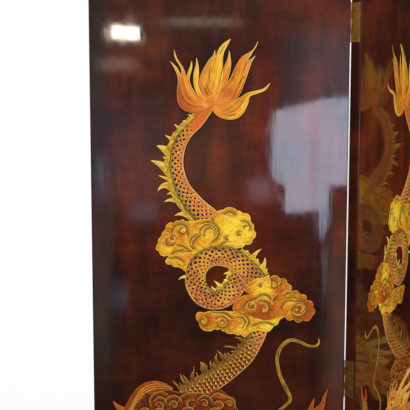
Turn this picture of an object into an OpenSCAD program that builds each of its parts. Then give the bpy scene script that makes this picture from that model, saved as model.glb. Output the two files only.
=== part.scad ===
// Lacquered folding screen: four upright leaves joined in a zigzag by brass butt hinges.
// The origin is on the floor under the middle of the screen. +Z is up, and the painted faces look
// towards -Y. Each leaf is drawn in its own frame: X runs from its left edge to its right edge,
// Y from its painted face to its back, and Z up from its lower edge.

/* [Screen] */
// Angle between two neighbouring leaves as the screen stands
fold_angle = 120; // [60:5:170]
// Gap between two neighbouring leaves when the screen is opened flat
fold_gap = 1.2; // [0.8:0.1:2]

/* [Leaf] */
// Width of one leaf
leaf_w = 500; // [380:5:620]
// Height of one leaf
leaf_h = 1800; // [1500:10:2100]
// Thickness of the wooden core, without its two lacquered face boards
core_t = 17; // [14:0.5:24]
// Thickness of one lacquered face board
face_t = 2.5; // [2:0.1:4]
// Radius of the rubbed-down arris round each face board
arris_r = 1.8; // [0.6:0.1:1.9]

/* [Core frame] */
// Width of a stile
stile_w = 44; // [36:1:70]
// Height of the top rail
top_rail_h = 60; // [40:1:90]
// Height of the bottom rail
bottom_rail_h = 80; // [50:1:120]
// Height of each of the rails between them
middle_rail_h = 50; // [30:1:70]
// Number of rails between the top rail and the bottom rail
middle_rails = 2; // [1:1:4]
// Thickness of the tongues on the rails and boards
tongue_t = 6; // [4:0.5:8]
// Length of the tongues, which fill the grooves in the stiles
tongue_l = 10; // [6:0.5:14]

/* [Hinges] */
// Number of hinges on each fold
hinges_per_fold = 3; // [2:1:4]
// Height of a hinge
hinge_h = 76; // [50:1:100]
// Distance from the end of a leaf to the middle of its outermost hinge
hinge_inset = 190; // [120:5:260]
// Thickness of the hinge plates, which lie flush in the edges of the leaves
plate_t = 2; // [1.5:0.1:2.5]
// Strip of the leaf's edge that the hinge plate leaves free
plate_margin = 3.4; // [2.8:0.1:6]
// Radius of the rolled knuckles
knuckle_r = 4.2; // [3.6:0.1:5]
// Knuckles on one hinge, shared in turn by its two plates
knuckles = 5; // [3:2:7]
// Radius of the hinge pin
pin_r = 2.2; // [1.6:0.1:2.4]
// Radius of the ball on each end of the pin
finial_r = 3.4; // [2.8:0.1:4]

/* [Screws] */
// Screws through each hinge plate
screws_per_plate = 3; // [2:1:4]
// Radius of a screw's shank
screw_r = 1.7; // [1.4:0.1:2]
// Radius of a screw's countersunk head
screw_head_r = 3.5; // [3:0.1:3.9]
// Length of a screw from the face of its head to its point
screw_l = 22; // [16:1:28]
// Width and depth of the slot in a screw's head
slot = 0.9; // [0.6:0.1:1.2]

/* [Glides] */
// Height at which the glides hold the leaves off the floor
glide_h = 6; // [4:0.5:12]
// Radius of a glide
glide_r = 9; // [6:0.5:10]
// Distance from the edge of a leaf to the middle of a glide
glide_inset = 70; // [60:1:120]
// Radius of a glide's nail
nail_r = 1.3; // [1:0.1:1.6]
// Length of a glide's nail above the glide
nail_l = 18; // [12:1:24]

/* [Fits] */
// Radial clearance of a pin, screw or nail in its hole
hole_fit = 0.05; // [0.03:0.01:0.1]
// Clearance between the ends of neighbouring knuckles
knuckle_gap = 0.3; // [0.2:0.05:0.5]
// Clearance round a knuckle where it turns past the other plate
turn_gap = 0.5; // [0.4:0.1:0.8]
// Distance from the knuckles to the face of the leaf behind them
knuckle_stand = 0.6; // [0.4:0.1:2]

/* [Hidden] */
leaf_count = 4;
folds = leaf_count - 1;
leaf_t = core_t + 2 * face_t;
lean = (180 - fold_angle) / 2;
axis_out = knuckle_r + knuckle_stand;
plate_w = leaf_t - plate_margin;
knuckle_l = hinge_h / knuckles;
screw_head_l = screw_head_r - screw_r;
screw_point_l = 3 * screw_r;
opening_w = leaf_w - 2 * stile_w;
board_count = middle_rails + 1;
board_h = (leaf_h - top_rail_h - bottom_rail_h - middle_rails * middle_rail_h) / board_count;
over = 1; // how far a cutter runs past the face it opens
$fn = 48;

FOLD_NAMES = [for (k = [1:folds]) str("fold_", k, k + 1)];
HINGE_NAMES = [
    for (k = [1:folds], h = [1:hinges_per_fold]) str(FOLD_NAMES[k - 1], "_hinge_", h)
];
LEAF_PIECES = [
    "front_face_board", "back_face_board", "left_stile", "right_stile",
    "rails", "core_boards", "glides", "hinge_screws"
];
HINGE_PIECES = ["left_plate", "right_plate", "pin"];

// Where things stand

// The first leaf comes forward towards its right edge, the next goes back, and so on.
function leaf_angle(i) = i % 2 == 1 ? -lean : lean;
// Odd folds have their knuckles behind the leaves, and even folds in front of them.
function behind(k) = k % 2 == 1;
function pin_y(k) = behind(k) ? leaf_t + axis_out : -axis_out;
function turned(p, a) = [p.x * cos(a) - p.y * sin(a), p.x * sin(a) + p.y * cos(a)];
// The left lower corner of a leaf's painted face, counted from that of the first leaf
function leaf_corner(i) =
    i == 1 ? [0, 0] : pin_spot(i - 1) - turned([-fold_gap / 2, pin_y(i - 1)], leaf_angle(i));
function pin_spot(k) =
    leaf_corner(k) + turned([leaf_w + fold_gap / 2, pin_y(k)], leaf_angle(k));
// The ground that the screen covers, which is centred on the origin
ground = concat(
    [
        for (i = [1:leaf_count], x = [0, leaf_w], y = [0, leaf_t])
            leaf_corner(i) + turned([x, y], leaf_angle(i))
    ],
    [for (k = [1:folds], side = [-1, 1]) pin_spot(k) + [0, side * knuckle_r]]
);
centre = [
    (min([for (p = ground) p.x]) + max([for (p = ground) p.x])) / 2,
    (min([for (p = ground) p.y]) + max([for (p = ground) p.y])) / 2
];
// Height of a hinge's lower end above the leaf's lower edge, counting hinges from the bottom
function hinge_z(h) =
    hinge_inset + (h - 1) * (leaf_h - 2 * hinge_inset) / (hinges_per_fold - 1) - hinge_h / 2;
function screw_z(s) = hinge_h * (s - 0.5) / screws_per_plate;
// Screws are staggered across the plate, as they are on a real butt hinge.
function screw_y(s) = -axis_out - plate_w * (s % 2 == 1 ? 0.62 : 0.36);
function board_z(b) = bottom_rail_h + b * (board_h + middle_rail_h);

// Children in a leaf's own frame are put where that leaf stands.
module on_leaf(i) {
    spot = leaf_corner(i) - centre;
    translate([spot.x, spot.y, glide_h]) rotate(leaf_angle(i)) children();
}

// Children drawn round a pin, with the plate towards -X and -Y of it, are put at one hinge of a leaf:
// at its right edge for the fold after the leaf, and at its left edge for the fold before it.
module at_hinge(i, k, h) {
    after = k == i;
    translate([after ? leaf_w + fold_gap / 2 : -fold_gap / 2, pin_y(k), hinge_z(h)])
        mirror([after ? 0 : 1, 0, 0])
            mirror([0, behind(k) ? 0 : 1, 0])
                children();
}

// Children are repeated at all hinges of a leaf, or only at those of its left or right edge.
module at_leaf_hinges(i, left = true, right = true) {
    for (h = [1:hinges_per_fold]) {
        if (right && i < leaf_count) at_hinge(i, i, h) children();
        if (left && i > 1) at_hinge(i, i - 1, h) children();
    }
}

// Hinges

module screw_body(clearance = 0) {
    head_x = -fold_gap / 2;
    translate([head_x, 0, 0]) rotate([0, -90, 0]) {
        cylinder(h = screw_head_l, r1 = screw_head_r + clearance, r2 = screw_r + clearance);
        cylinder(h = screw_l - screw_point_l, r = screw_r + clearance);
        translate([0, 0, screw_l - screw_point_l])
            cylinder(h = screw_point_l, r1 = screw_r + clearance, r2 = 0.2 + clearance);
    }
}

module screw() {
    difference() {
        screw_body();
        translate([-fold_gap / 2 - slot, -screw_head_r, -slot / 2])
            cube([slot + over, 2 * screw_head_r, slot]);
    }
}

module at_screws() {
    for (s = [1:screws_per_plate]) translate([0, screw_y(s), screw_z(s)]) children();
}

// One plate of a hinge. The left plate has the first knuckle and the last one.
module hinge_plate(first_knuckle) {
    other = 1 - first_knuckle;
    color("goldenrod") difference() {
        union() {
            translate([-fold_gap / 2 - plate_t, -axis_out - plate_w, 0])
                cube([plate_t, axis_out + plate_w, hinge_h]);
            for (n = [first_knuckle:2:knuckles - 1]) {
                low = n == 0 ? 0 : n * knuckle_l + knuckle_gap / 2;
                high = n == knuckles - 1 ? hinge_h : (n + 1) * knuckle_l - knuckle_gap / 2;
                translate([0, 0, low]) cylinder(h = high - low, r = knuckle_r);
            }
        }
        for (n = [other:2:knuckles - 1])
            translate([0, 0, n * knuckle_l - knuckle_gap / 2 - (n == 0 ? over : 0)])
                cylinder(
                    h = knuckle_l + knuckle_gap + (n == 0 || n == knuckles - 1 ? over : 0),
                    r = knuckle_r + turn_gap
                );
        translate([0, 0, -over]) cylinder(h = hinge_h + 2 * over, r = pin_r + hole_fit);
        at_screws() screw_body(hole_fit);
    }
}

// The loose pin, with a ball on a collar at each end
module hinge_pin() {
    collar_h = 1.2;
    collar_r = knuckle_r - 0.4;
    neck = 0.8 * finial_r; // height of the ball's middle above its collar
    color("goldenrod") {
        cylinder(h = hinge_h, r = pin_r);
        for (end = [0, 1])
            translate([0, 0, end * hinge_h]) mirror([0, 0, 1 - end]) {
                cylinder(h = collar_h, r = collar_r);
                translate([0, 0, collar_h + neck]) sphere(r = finial_r);
            }
    }
}

module hinge_recess() {
    translate([-fold_gap / 2 - plate_t, -axis_out - plate_w, 0])
        cube([plate_t + over, plate_w + over, hinge_h]);
}

// Leaves

// A board as large as the leaf, with the arrises of its face at y = 0 rounded
module rounded_board(thick) {
    intersection() {
        linear_extrude(leaf_h) rounded_strip(leaf_w, thick);
        rotate([90, 0, 90]) linear_extrude(leaf_w) mirror([1, -1]) rounded_strip(leaf_h, thick);
    }
}

// A strip from x = 0 to length and y = 0 to thick, with its two corners at y = 0 rounded
module rounded_strip(length, thick) {
    translate([0, arris_r]) square([length, thick - arris_r]);
    translate([arris_r, 0]) square([length - 2 * arris_r, thick]);
    intersection() {
        square([length, arris_r]);
        for (x = [arris_r, length - arris_r]) translate([x, arris_r]) circle(r = arris_r);
    }
}

module front_face_board(i) {
    color([0.16, 0.07, 0.05]) difference() {
        rounded_board(face_t);
        at_leaf_hinges(i) hinge_recess();
    }
}

module back_face_board(i) {
    color([0.12, 0.06, 0.05]) difference() {
        translate([0, leaf_t, 0]) mirror([0, 1, 0]) rounded_board(face_t);
        at_leaf_hinges(i) hinge_recess();
    }
}

// A stile is grooved along its inner edge, and let in and drilled for the hinges of its outer edge.
module stile(i, right) {
    groove_x = right ? leaf_w - stile_w - over : stile_w - tongue_l;
    color([0.16, 0.07, 0.05]) difference() {
        translate([right ? leaf_w - stile_w : 0, face_t, 0]) cube([stile_w, core_t, leaf_h]);
        translate([groove_x, (leaf_t - tongue_t) / 2, -over])
            cube([tongue_l + over, tongue_t, leaf_h + 2 * over]);
        at_leaf_hinges(i, left = !right, right = right) {
            hinge_recess();
            at_screws() screw_body(hole_fit);
        }
    }
}

// A rail or board between the stiles, with a tongue on each end
module cross_board(height) {
    translate([stile_w, face_t, 0]) cube([opening_w, core_t, height]);
    translate([stile_w - tongue_l, (leaf_t - tongue_t) / 2, 0])
        cube([opening_w + 2 * tongue_l, tongue_t, height]);
}

module at_glides() {
    for (x = [glide_inset, leaf_w - glide_inset]) translate([x, leaf_t / 2, 0]) children();
}

module rails() {
    color([0.16, 0.07, 0.05]) {
        difference() {
            cross_board(bottom_rail_h);
            at_glides() translate([0, 0, -over])
                cylinder(h = nail_l + 2 * over, r = nail_r + hole_fit);
        }
        for (b = [1:middle_rails])
            translate([0, 0, board_z(b) - middle_rail_h]) cross_board(middle_rail_h);
        translate([0, 0, leaf_h - top_rail_h]) cross_board(top_rail_h);
    }
}

module core_boards() {
    color("burlywood")
        for (b = [0:board_count - 1]) translate([0, 0, board_z(b)]) cross_board(board_h);
}

// A nylon glide with a softened rim and a flat underside, on a nail driven into the bottom rail
module glides() {
    rim_r = glide_h / 3;
    color([0.1, 0.08, 0.07])
        at_glides() rotate_extrude() {
            translate([0, -glide_h]) square([glide_r - rim_r, glide_h]);
            translate([0, rim_r - glide_h]) square([glide_r, glide_h - rim_r]);
            translate([glide_r - rim_r, rim_r - glide_h]) intersection() {
                circle(r = rim_r);
                translate([0, -rim_r]) square([rim_r, rim_r]);
            }
            polygon([
                [0, -over], [nail_r, -over], [nail_r, nail_l - 2 * nail_r], [0.2, nail_l], [0, nail_l]
            ]);
        }
}

module hinge_screws(i) {
    color("goldenrod") at_leaf_hinges(i) at_screws() screw();
}

for (i = [1:leaf_count]) {
    leaf = str("leaf_", i, "_");
    on_leaf(i) front_face_board(i);
    on_leaf(i) back_face_board(i);
    on_leaf(i) stile(i, right = false);
    on_leaf(i) stile(i, right = true);
    on_leaf(i) rails();
    on_leaf(i) core_boards();
    on_leaf(i) glides();
    on_leaf(i) hinge_screws(i);
}

for (k = [1:folds], h = [1:hinges_per_fold]) {
    hinge = str(FOLD_NAMES[k - 1], "_hinge_", h, "_");
    on_leaf(k) at_hinge(k, k, h) hinge_plate(0);
    on_leaf(k + 1) at_hinge(k + 1, k, h) hinge_plate(1);
    on_leaf(k) at_hinge(k, k, h) hinge_pin();
}
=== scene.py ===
"""Looks of the lacquer folding screen: polished brown lacquer, a gilded dragon among clouds on each leaf,
and satin brass hinges.

The painting lies on a leaf's face in millimetres: x from the leaf's left edge, z from the floor, and h out
of the face. Odd leaves carry it as it is, and even leaves carry its mirror image.
"""
from math import cos, dist, hypot, pi, radians, sin

import bpy
import numpy as np
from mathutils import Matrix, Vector
from mathutils.geometry import delaunay_2d_cdt


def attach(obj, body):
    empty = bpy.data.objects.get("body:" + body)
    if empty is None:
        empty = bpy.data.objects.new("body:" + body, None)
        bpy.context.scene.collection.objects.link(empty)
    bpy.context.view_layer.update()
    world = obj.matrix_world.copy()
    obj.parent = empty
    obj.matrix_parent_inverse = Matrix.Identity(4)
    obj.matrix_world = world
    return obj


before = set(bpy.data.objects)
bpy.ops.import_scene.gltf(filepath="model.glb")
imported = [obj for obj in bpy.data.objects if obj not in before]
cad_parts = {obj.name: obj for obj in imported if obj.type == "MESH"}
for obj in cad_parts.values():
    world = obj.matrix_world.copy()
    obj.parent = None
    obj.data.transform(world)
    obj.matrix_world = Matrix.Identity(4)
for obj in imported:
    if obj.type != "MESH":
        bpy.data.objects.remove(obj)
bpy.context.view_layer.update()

MM = 0.001
LEAVES = (1, 2, 3, 4)
LEAF_W = 500.0
LEAN = 30.0  # angle of each leaf against the row of leaves, in degrees

# Brush work
STEP = 2.5  # mm between the points along a stroke
ACROSS = (-1.0, -0.7, -0.36, 0.0, 0.36, 0.7, 1.0)  # places across a stroke, as shares of its half width
THIN = (-1.0, 0.0, 1.0)  # the same for a thin line
CURL_STEP = 1.6  # mm between the points along a drawn curl
CURL_REACH = 6.0  # mm from a curl over which its shade and its light fade
LOBE_POINTS = 6  # points along one lobe of a cloud's outline
ROOT = -0.05  # how deep the sides of a stroke go into the board, in steps of height
HALO = 1.7  # mm of dark shade round each figure
SPINE_HALO = 1.3  # mm of it round a spine of the crest
SIDE = -3.0  # stands for the distance from the edge at the foot of a figure's sides

RELIEF = 0.68  # mm for one step of height in the relief, which keeps it under a millimetre
# Heights of the gilded relief above the board, in those steps, from the lowest figure to the uppermost
LIFT = {
    "shade": 0.03, "far": 0.08, "body": 0.14, "bank": 0.34, "ring_in": 0.54, "cloud": 0.74,
    "ring_out": 0.96, "near": 1.18,
}


# Leaves and their frames

def leaf_angle(leaf):
    return radians(-LEAN if leaf % 2 else LEAN)


def leaf_frame(leaf):
    """Lower left corner of the leaf's painted face, the directions to its right and out of its face."""
    turn = leaf_angle(leaf)
    right = Vector((cos(turn), sin(turn), 0))
    out = Vector((sin(turn), -cos(turn), 0))
    points = [v.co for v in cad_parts[f"leaf_{leaf}_front_face_board"].data.vertices]
    left = min(p.dot(right) for p in points)
    face = max(p.dot(out) for p in points)
    return right * left + out * face, right, out


# Curves

def catmull(t, a, b, c, d):
    """Catmull-Rom curve from b to c."""
    square = 2 * a - 5 * b + 4 * c - d
    cube = 3 * b - a - 3 * c + d
    return 0.5 * (2 * b + (c - a) * t + square * t ** 2 + cube * t ** 3)


def spline(points, step=STEP, closed=False):
    """Points about one step apart on a smooth curve through the given ones, which may hold a width too."""
    count = len(points)
    line = []
    for i in range(count if closed else count - 1):
        near = [points[(i + k) % count if closed else min(max(i + k, 0), count - 1)] for k in (-1, 0, 1, 2)]
        pieces = max(1, round(dist(near[1][:2], near[2][:2]) / step))
        for j in range(pieces):
            line.append(tuple(catmull(j / pieces, *values) for values in zip(*near)))
    return line if closed else line + [tuple(points[-1])]


def arc(centre, radius, start, end, radius_end=None):
    """An arc from one angle to another in degrees, or a spiral where the radius changes on the way."""
    last = radius if radius_end is None else radius_end
    pieces = max(4, round(abs(end - start) * max(radius, last) / 60 / 1.5))
    line = []
    for j in range(pieces + 1):
        t = j / pieces
        r = radius + (last - radius) * t
        a = radians(start + (end - start) * t)
        line.append((centre[0] + r * cos(a), centre[1] + r * sin(a)))
    return line


def lobes(*notches, swell=0.3):
    """Round lobes from each notch of a cloud's outline to the next, bulging to the left of the way."""
    outline = []
    for a, b in zip(notches, notches[1:]):
        dx, dz = b[0] - a[0], b[1] - a[1]
        for j in range(LOBE_POINTS):
            t = j / LOBE_POINTS
            push = 4 * swell * t * (1 - t)
            outline.append((a[0] + dx * t - dz * push, a[1] + dz * t + dx * push))
    return [*outline, notches[-1]]


def heading(line, i):
    before, after = line[max(i - 1, 0)], line[min(i + 1, len(line) - 1)]
    dx, dz = after[0] - before[0], after[1] - before[1]
    length = hypot(dx, dz) or 1.0
    return dx / length, dz / length


def smooth(value, low, high):
    t = min(max((value - low) / (high - low), 0.0), 1.0)
    return t * t * (3 - 2 * t)


def told(value, *place):
    """A plain value, or what a function says for the place."""
    return value(*place) if callable(value) else value


# Painted layers

def add_object(name, data):
    made = bpy.data.objects.new(name, data)
    bpy.context.collection.objects.link(made)
    return made


class Layer:
    """All strokes of one material on one leaf, gathered into one mesh."""

    def __init__(self):
        self.points = []
        self.faces = []
        self.sides = []  # whether a face is a side that goes down into the board
        self.strip = []  # mm along, mm across, mm from the edge
        self.paint = []  # tone, share of the way along or side of the back, and seed

    def add(self, points, strip, paint, faces, sides):
        """Adds the faces of a figure's top and of its sides."""
        first = len(self.points)
        self.points += points
        self.strip += strip
        self.paint += paint
        self.faces += [tuple(first + k for k in face) for face in faces + sides]
        self.sides += [False] * len(faces) + [True] * len(sides)

    def build(self, name, leaf, material, slot):
        corner, right, out = leaf_frame(leaf)
        mirrored = leaf % 2 == 0
        places = []
        for x, z, h in self.points:
            x = LEAF_W - x if mirrored else x
            places.append(corner + right * (x * MM) + out * (h * RELIEF * MM) + Vector((0, 0, z * MM)))
        faces = [face[::-1] for face in self.faces] if mirrored else self.faces
        mesh = bpy.data.meshes.new(name)
        mesh.from_pydata(places, [], faces)
        for key, values in (("strip", self.strip), ("paint", self.paint)):
            data = mesh.attributes.new(key, "FLOAT_VECTOR", "POINT").data
            data.foreach_set("vector", np.array(values, np.float32).ravel())
        mesh.polygons.foreach_set("use_smooth", [not side for side in self.sides])
        mesh.materials.append(material)
        mesh.update()
        piece = add_object(name, mesh)
        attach(piece, f"leaf_{leaf}")


def stroke(layer, points, lift, crown=0.12, tone=0.5, seed=0.0, side=None, step=STEP, across=ACROSS):
    """A brush stroke through (x, z, half width), lifted off the board and crowned along its middle. tone
    is a number or a function of the share of the way along, and so is side, which is that share if it
    isn't given."""
    line = spline(points, step)
    rows = len(across) + 2
    places, strip, paint, faces, sides = [], [], [], [], []
    run = 0.0
    for i, (x, z, half) in enumerate(line):
        if i:
            run += dist((x, z), line[i - 1][:2])
        t = i / (len(line) - 1)
        dx, dz = heading(line, i)
        half = max(half, 0.15)
        shade = told(tone, t)
        second = t if side is None else told(side, t)
        for k, q in enumerate((across[0], *across, across[-1])):
            rim = k in (0, rows - 1)
            high = ROOT if rim else lift + crown * min(half / 5, 1) * (1 - q * q)
            places.append((x - dz * half * q, z + dx * half * q, high))
            strip.append((run, half * q, SIDE if rim else half * (1 - abs(q))))
            paint.append((shade, second, seed))
        if i:
            for k in range(rows - 1):
                a = (i - 1) * rows + k
                kind = sides if k in (0, rows - 2) else faces
                kind.append((a, a + rows, a + rows + 1, a + 1))
    last = (len(line) - 1) * rows
    sides.append(tuple(range(rows)))
    sides.append(tuple(last + k for k in reversed(range(rows))))
    layer.add(places, strip, paint, faces, sides)


def spine(layer, base, bend, tip, half, lift, tone=0.5, seed=0.0, crown=0.1):
    """A curved spine of the crest, from its base to its tip."""
    points = []
    for j in range(6):
        t = j / 5
        x, z = (
            (1 - t) ** 2 * a + 2 * t * (1 - t) * b + t * t * c for a, b, c in zip(base, bend, tip)
        )
        points.append((x, z, half * (1 - t) + 0.3))
    stroke(layer, points, lift, crown, tone, seed, step=2.0, across=(-1.0, -0.5, 0.0, 0.5, 1.0))


def offsets(places, starts, ways):
    """The shortest way to each place from each of the straight lines."""
    t = np.clip(((places - starts) * ways).sum(2) / np.maximum((ways ** 2).sum(2), 1e-9), 0, 1)
    return places - (starts + t[..., None] * ways)


def rim_distance(places, rim):
    """Distance of each place from a closed outline, and whether it lies inside."""
    p = np.array(places)[:, None, :]
    a = np.array(rim)[None, :, :]
    b = np.roll(a, -1, axis=1)
    way = b - a
    gap = np.linalg.norm(offsets(p, a, way), axis=2).min(1)
    crosses = (a[..., 1] > p[..., 1]) != (b[..., 1] > p[..., 1])
    rise = np.where(np.abs(way[..., 1]) < 1e-9, 1e-9, way[..., 1])
    left = p[..., 0] < a[..., 0] + (p[..., 1] - a[..., 1]) * way[..., 0] / rise
    return gap, (crosses & left).sum(1) % 2 == 1


def carved(places, curls):
    """How each place lies by the nearest curl: from -1 in the shade on its left to 1 in the light on its
    right, and 0 away from it."""
    starts, ends = [], []
    for curve in curls:
        line = spline(curl(curve), 4.0)
        starts += line[:-1]
        ends += line[1:]
    p = np.array(places, np.float32)[:, None, :]
    a = np.array(starts, np.float32)[None, :, :]
    way = np.array(ends, np.float32)[None, :, :] - a
    off = offsets(p, a, way)
    gap = np.linalg.norm(off, axis=2)
    across = off[..., 0] * way[..., 1] - off[..., 1] * way[..., 0]
    side = across / np.maximum(gap * np.linalg.norm(way, axis=2), 1e-6)
    near = gap.argmin(1)[:, None]
    gap, side = np.take_along_axis(gap, near, 1), np.take_along_axis(side, near, 1)
    return (side * np.exp(-gap / CURL_REACH))[:, 0]


def patch(
    layer, outline, lift, crown=0.2, bulge=9.0, tone=0.5, seed=0.0, grid=3.0, step=2.0, curls=()
):
    """A filled figure with a crowned edge, shaded along its curls. tone is a number or a function of x
    and z."""
    rim = [p[:2] for p in spline(outline, step, closed=True)]
    xs, zs = zip(*rim)
    inner = []
    if grid:
        for row in range(int((max(zs) - min(zs)) / (grid * 0.87))):
            for column in range(int((max(xs) - min(xs)) / grid)):
                inner.append((min(xs) + (column + row % 2 / 2) * grid, min(zs) + row * grid * 0.87))
        gap, inside = rim_distance(inner, rim)
        inner = [p for p, g, ok in zip(inner, gap, inside) if ok and g > grid * 0.45]
    count = len(rim)
    made = delaunay_2d_cdt([Vector(p) for p in rim + inner], [], [list(range(count))], 1, 1e-4)
    flat = [tuple(v) for v in made[0]]
    gap, _ = rim_distance(flat, rim)
    hollow = carved(flat, curls) if curls else [0.0] * len(flat)
    places, strip, paint = [], [], []
    for (x, z), g, depth in zip(flat, gap, hollow):
        high = lift + crown * (1 - (1 - min(g / bulge, 1)) ** 2)
        places.append((x, z, high + 0.03 * depth))
        strip.append((x, z, g))
        paint.append((told(tone, x, z), depth, seed))
    faces = [tuple(f) for f in made[2]]
    edges = {(f[k], f[(k + 1) % 3]) for f in faces for k in range(3)}
    border = sorted((a, b) for a, b in edges if (b, a) not in edges)
    foot = {}
    for a, _ in border:
        foot[a] = len(places)
        places.append((*flat[a], ROOT))
        strip.append((*flat[a], SIDE))
        paint.append(paint[a])
    skirt = [(b, a, foot[a], foot[b]) for a, b in border if b in foot]
    layer.add(places, strip, paint, faces, skirt)


def widened(outline, by):
    """The outline pushed outwards, for the shade round a figure."""
    rim = [p[:2] for p in spline(outline, 4.0, closed=True)]
    count = len(rim)
    area = sum(x0 * z1 - x1 * z0 for (x0, z0), (x1, z1) in zip(rim, rim[1:] + rim[:1]))
    turn = -1 if area > 0 else 1
    out = []
    for i in range(count):
        (x0, z0), (x1, z1) = rim[i - 1], rim[(i + 1) % count]
        length = hypot(x1 - x0, z1 - z0) or 1.0
        x, z = rim[i]
        out.append((x - turn * by * (z1 - z0) / length, z + turn * by * (x1 - x0) / length))
    return out


def spots(ground, *places):
    """A tone that is ground everywhere, but moves to value within a radius of each (x, z, radius, value)."""
    def tone(x, z):
        value = ground
        for cx, cz, radius, there in places:
            value += (there - value) * smooth(dist((x, z), (cx, cz)), radius, radius * 0.35)
        return value
    return tone


# The painting

# Flames of the tail's tuft: x, z and half width along each, then its tone from orange to yellow
FLAMES = (
    ([(240, 1464, 6), (249, 1480, 8), (256, 1500, 8), (261.5, 1516, 7.5), (265.5, 1530, 6.5),
      (268, 1541, 4.3), (268.5, 1550, 2.3), (269, 1561, 0.4)], 0.5),
    ([(232, 1466, 6), (222.5, 1487, 10), (222, 1508, 10), (228.5, 1527, 8), (235, 1541, 6),
      (240, 1551, 2.5), (241, 1562, 0.4)], 0.35),
    ([(247, 1454, 6), (275, 1480, 13), (290, 1503, 9), (299, 1524, 7.5), (306, 1537, 5.2),
      (312, 1543.5, 2.4), (318.5, 1551, 0.5)], 0.3),
    ([(240, 1457, 8), (262, 1474, 16), (280, 1499, 13), (289, 1523, 11), (297, 1543, 7.5),
      (306.5, 1553, 3.8), (314, 1561, 1.4), (319.5, 1569, 1), (323.5, 1579, 0.4)], 0.34),
    ([(236, 1463, 8), (238, 1488, 15), (243, 1515, 14), (247, 1535, 9.5), (250, 1550, 7), (254, 1562, 6),
      (261, 1572, 4.6), (271, 1583, 0.5)], 0.8),
    ([(238, 1455, 6), (255, 1446, 14), (278, 1449, 18.5), (295, 1463, 11.5), (303, 1474, 6),
      (311, 1479, 3.8), (322, 1482, 3.1), (333, 1485.5, 2.7), (341, 1491, 2), (347, 1499, 0.5)], 0.6),
    ([(226, 1455, 6), (203, 1453, 12), (185, 1463, 14), (180, 1481, 12), (178, 1497, 8.5), (174.5, 1508, 5),
      (171.5, 1516.5, 3.6), (167.5, 1525, 3), (162.5, 1532.5, 2.1), (156, 1540, 0.4)], 0.15),
    ([(224, 1464, 4), (206, 1471, 5.5), (196, 1483, 5), (190.5, 1496, 4.2), (189, 1508, 3.6),
      (192, 1519, 3.1), (195.5, 1530, 2.3), (196.5, 1541, 0.5)], 0.5),
    ([(226, 1459, 6), (202, 1463, 8), (188, 1480, 8.5), (182, 1500, 7), (180.5, 1514, 4.6),
      (179.5, 1524, 3), (174.5, 1534, 2.1), (168, 1544, 1.9), (164.3, 1554, 1.6), (163.4, 1562, 0.4)], 0.4),
    ([(228, 1466, 2.5), (217, 1473, 3.6), (209, 1483, 4.2), (205, 1497, 4.6), (205, 1511, 5.4),
      (206, 1523, 4.6), (207, 1533, 2.6), (205.8, 1547, 0.4)], 0.75),
)
KNOT = [(241, 1467, 3), (237, 1467, 7.5), (230, 1464, 9.5), (224, 1459, 7.5), (219, 1454, 4)]
# Dark lines drawn on the tuft: x, z and half width along each
TUFT_LINES = (
    [(250.5, 1553, 0.3), (254, 1561, 0.8), (260, 1570.5, 0.3)],
    [(257, 1531, 0.8), (253, 1515, 0.6), (250, 1498, 0.3)],
    [(289, 1498, 0.3), (292, 1505, 0.9), (298, 1513, 0.3)],
    [(296, 1522, 0.3), (300, 1532, 0.6), (306, 1541, 0.3)],
    [(262, 1440, 0.3), (278, 1446, 0.6), (290, 1456, 0.5), (297, 1466, 0.3)],
    [(258, 1447, 0.3), (273, 1453, 0.6), (285, 1463, 0.5), (291, 1472, 0.3)],
    [(219, 1494, 0.3), (224, 1483, 0.9), (232, 1475, 0.3)],
    [(226, 1497, 0.3), (229, 1486, 0.7), (236, 1477, 0.3)],
    [(178, 1477, 0.3), (182, 1467, 0.8), (192, 1457, 0.6), (205, 1452, 0.3)],
    [(184, 1486, 0.3), (187, 1475, 0.7), (196, 1465, 0.5), (207, 1459, 0.3)],
    [(232, 1530, 0.3), (230, 1516, 0.6), (231, 1500, 0.3)],
    [(283, 1530, 0.3), (277, 1512, 0.6), (268, 1494, 0.3)],
)

# The dragon's body, from the tuft to the cloud, round its loop, and on down to the mane
TAIL = [
    (238, 1466, 9), (230, 1454, 10), (218, 1437, 10.5), (206, 1422, 11), (189, 1406, 11.5),
    (178, 1391, 12.5), (170, 1372, 13.5), (167, 1353, 13.5), (167, 1336, 14), (172, 1314, 14.5),
    (180, 1293, 16), (193, 1274, 18.5), (208, 1256, 20), (226, 1239, 22), (240, 1224, 23),
]
RING_IN = [
    (291, 1150, 18.5), (292, 1132, 18.5), (286, 1110, 19.5), (274, 1091, 20), (256, 1077, 20),
    (235, 1075, 20), (217, 1084, 21), (206, 1101, 21), (203, 1120, 20),
]
RING_OUT = [
    (216, 1082, 18.5), (206, 1101, 21), (203, 1120, 20), (208, 1139, 20), (221, 1154, 20), (240, 1162, 20),
    (260, 1162, 21), (279, 1155, 21), (297, 1142, 21), (312, 1127, 21), (325, 1110, 22),
]
LOWER_BODY = [
    (335, 1029, 15.5), (328, 1005, 15.5), (317, 982, 16), (302, 959, 17), (281, 939, 17.5),
    (257, 920, 18.5), (230, 902, 20), (206, 886, 22), (184, 870, 23),
]
WHISKER = [
    (447, 996, 0.6), (449, 990, 1.8), (445, 982, 2), (436, 980, 2.1), (425, 982, 2.3), (413, 988, 2.5),
    (402, 992, 3), (391, 992, 3.3), (380, 986, 3.5), (372, 976, 3.5), (367, 963, 3.3), (366, 950, 3.1),
    (368, 936, 3.1), (372, 920, 3.3), (379, 904, 3.5), (386, 890, 3.5), (392, 878, 3.3), (392, 868, 2.9),
    (384, 859, 2.5), (372, 849, 2.4), (356, 832, 2.6), (348, 812, 3), (352, 790, 3.4), (366, 772, 3),
]

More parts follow.
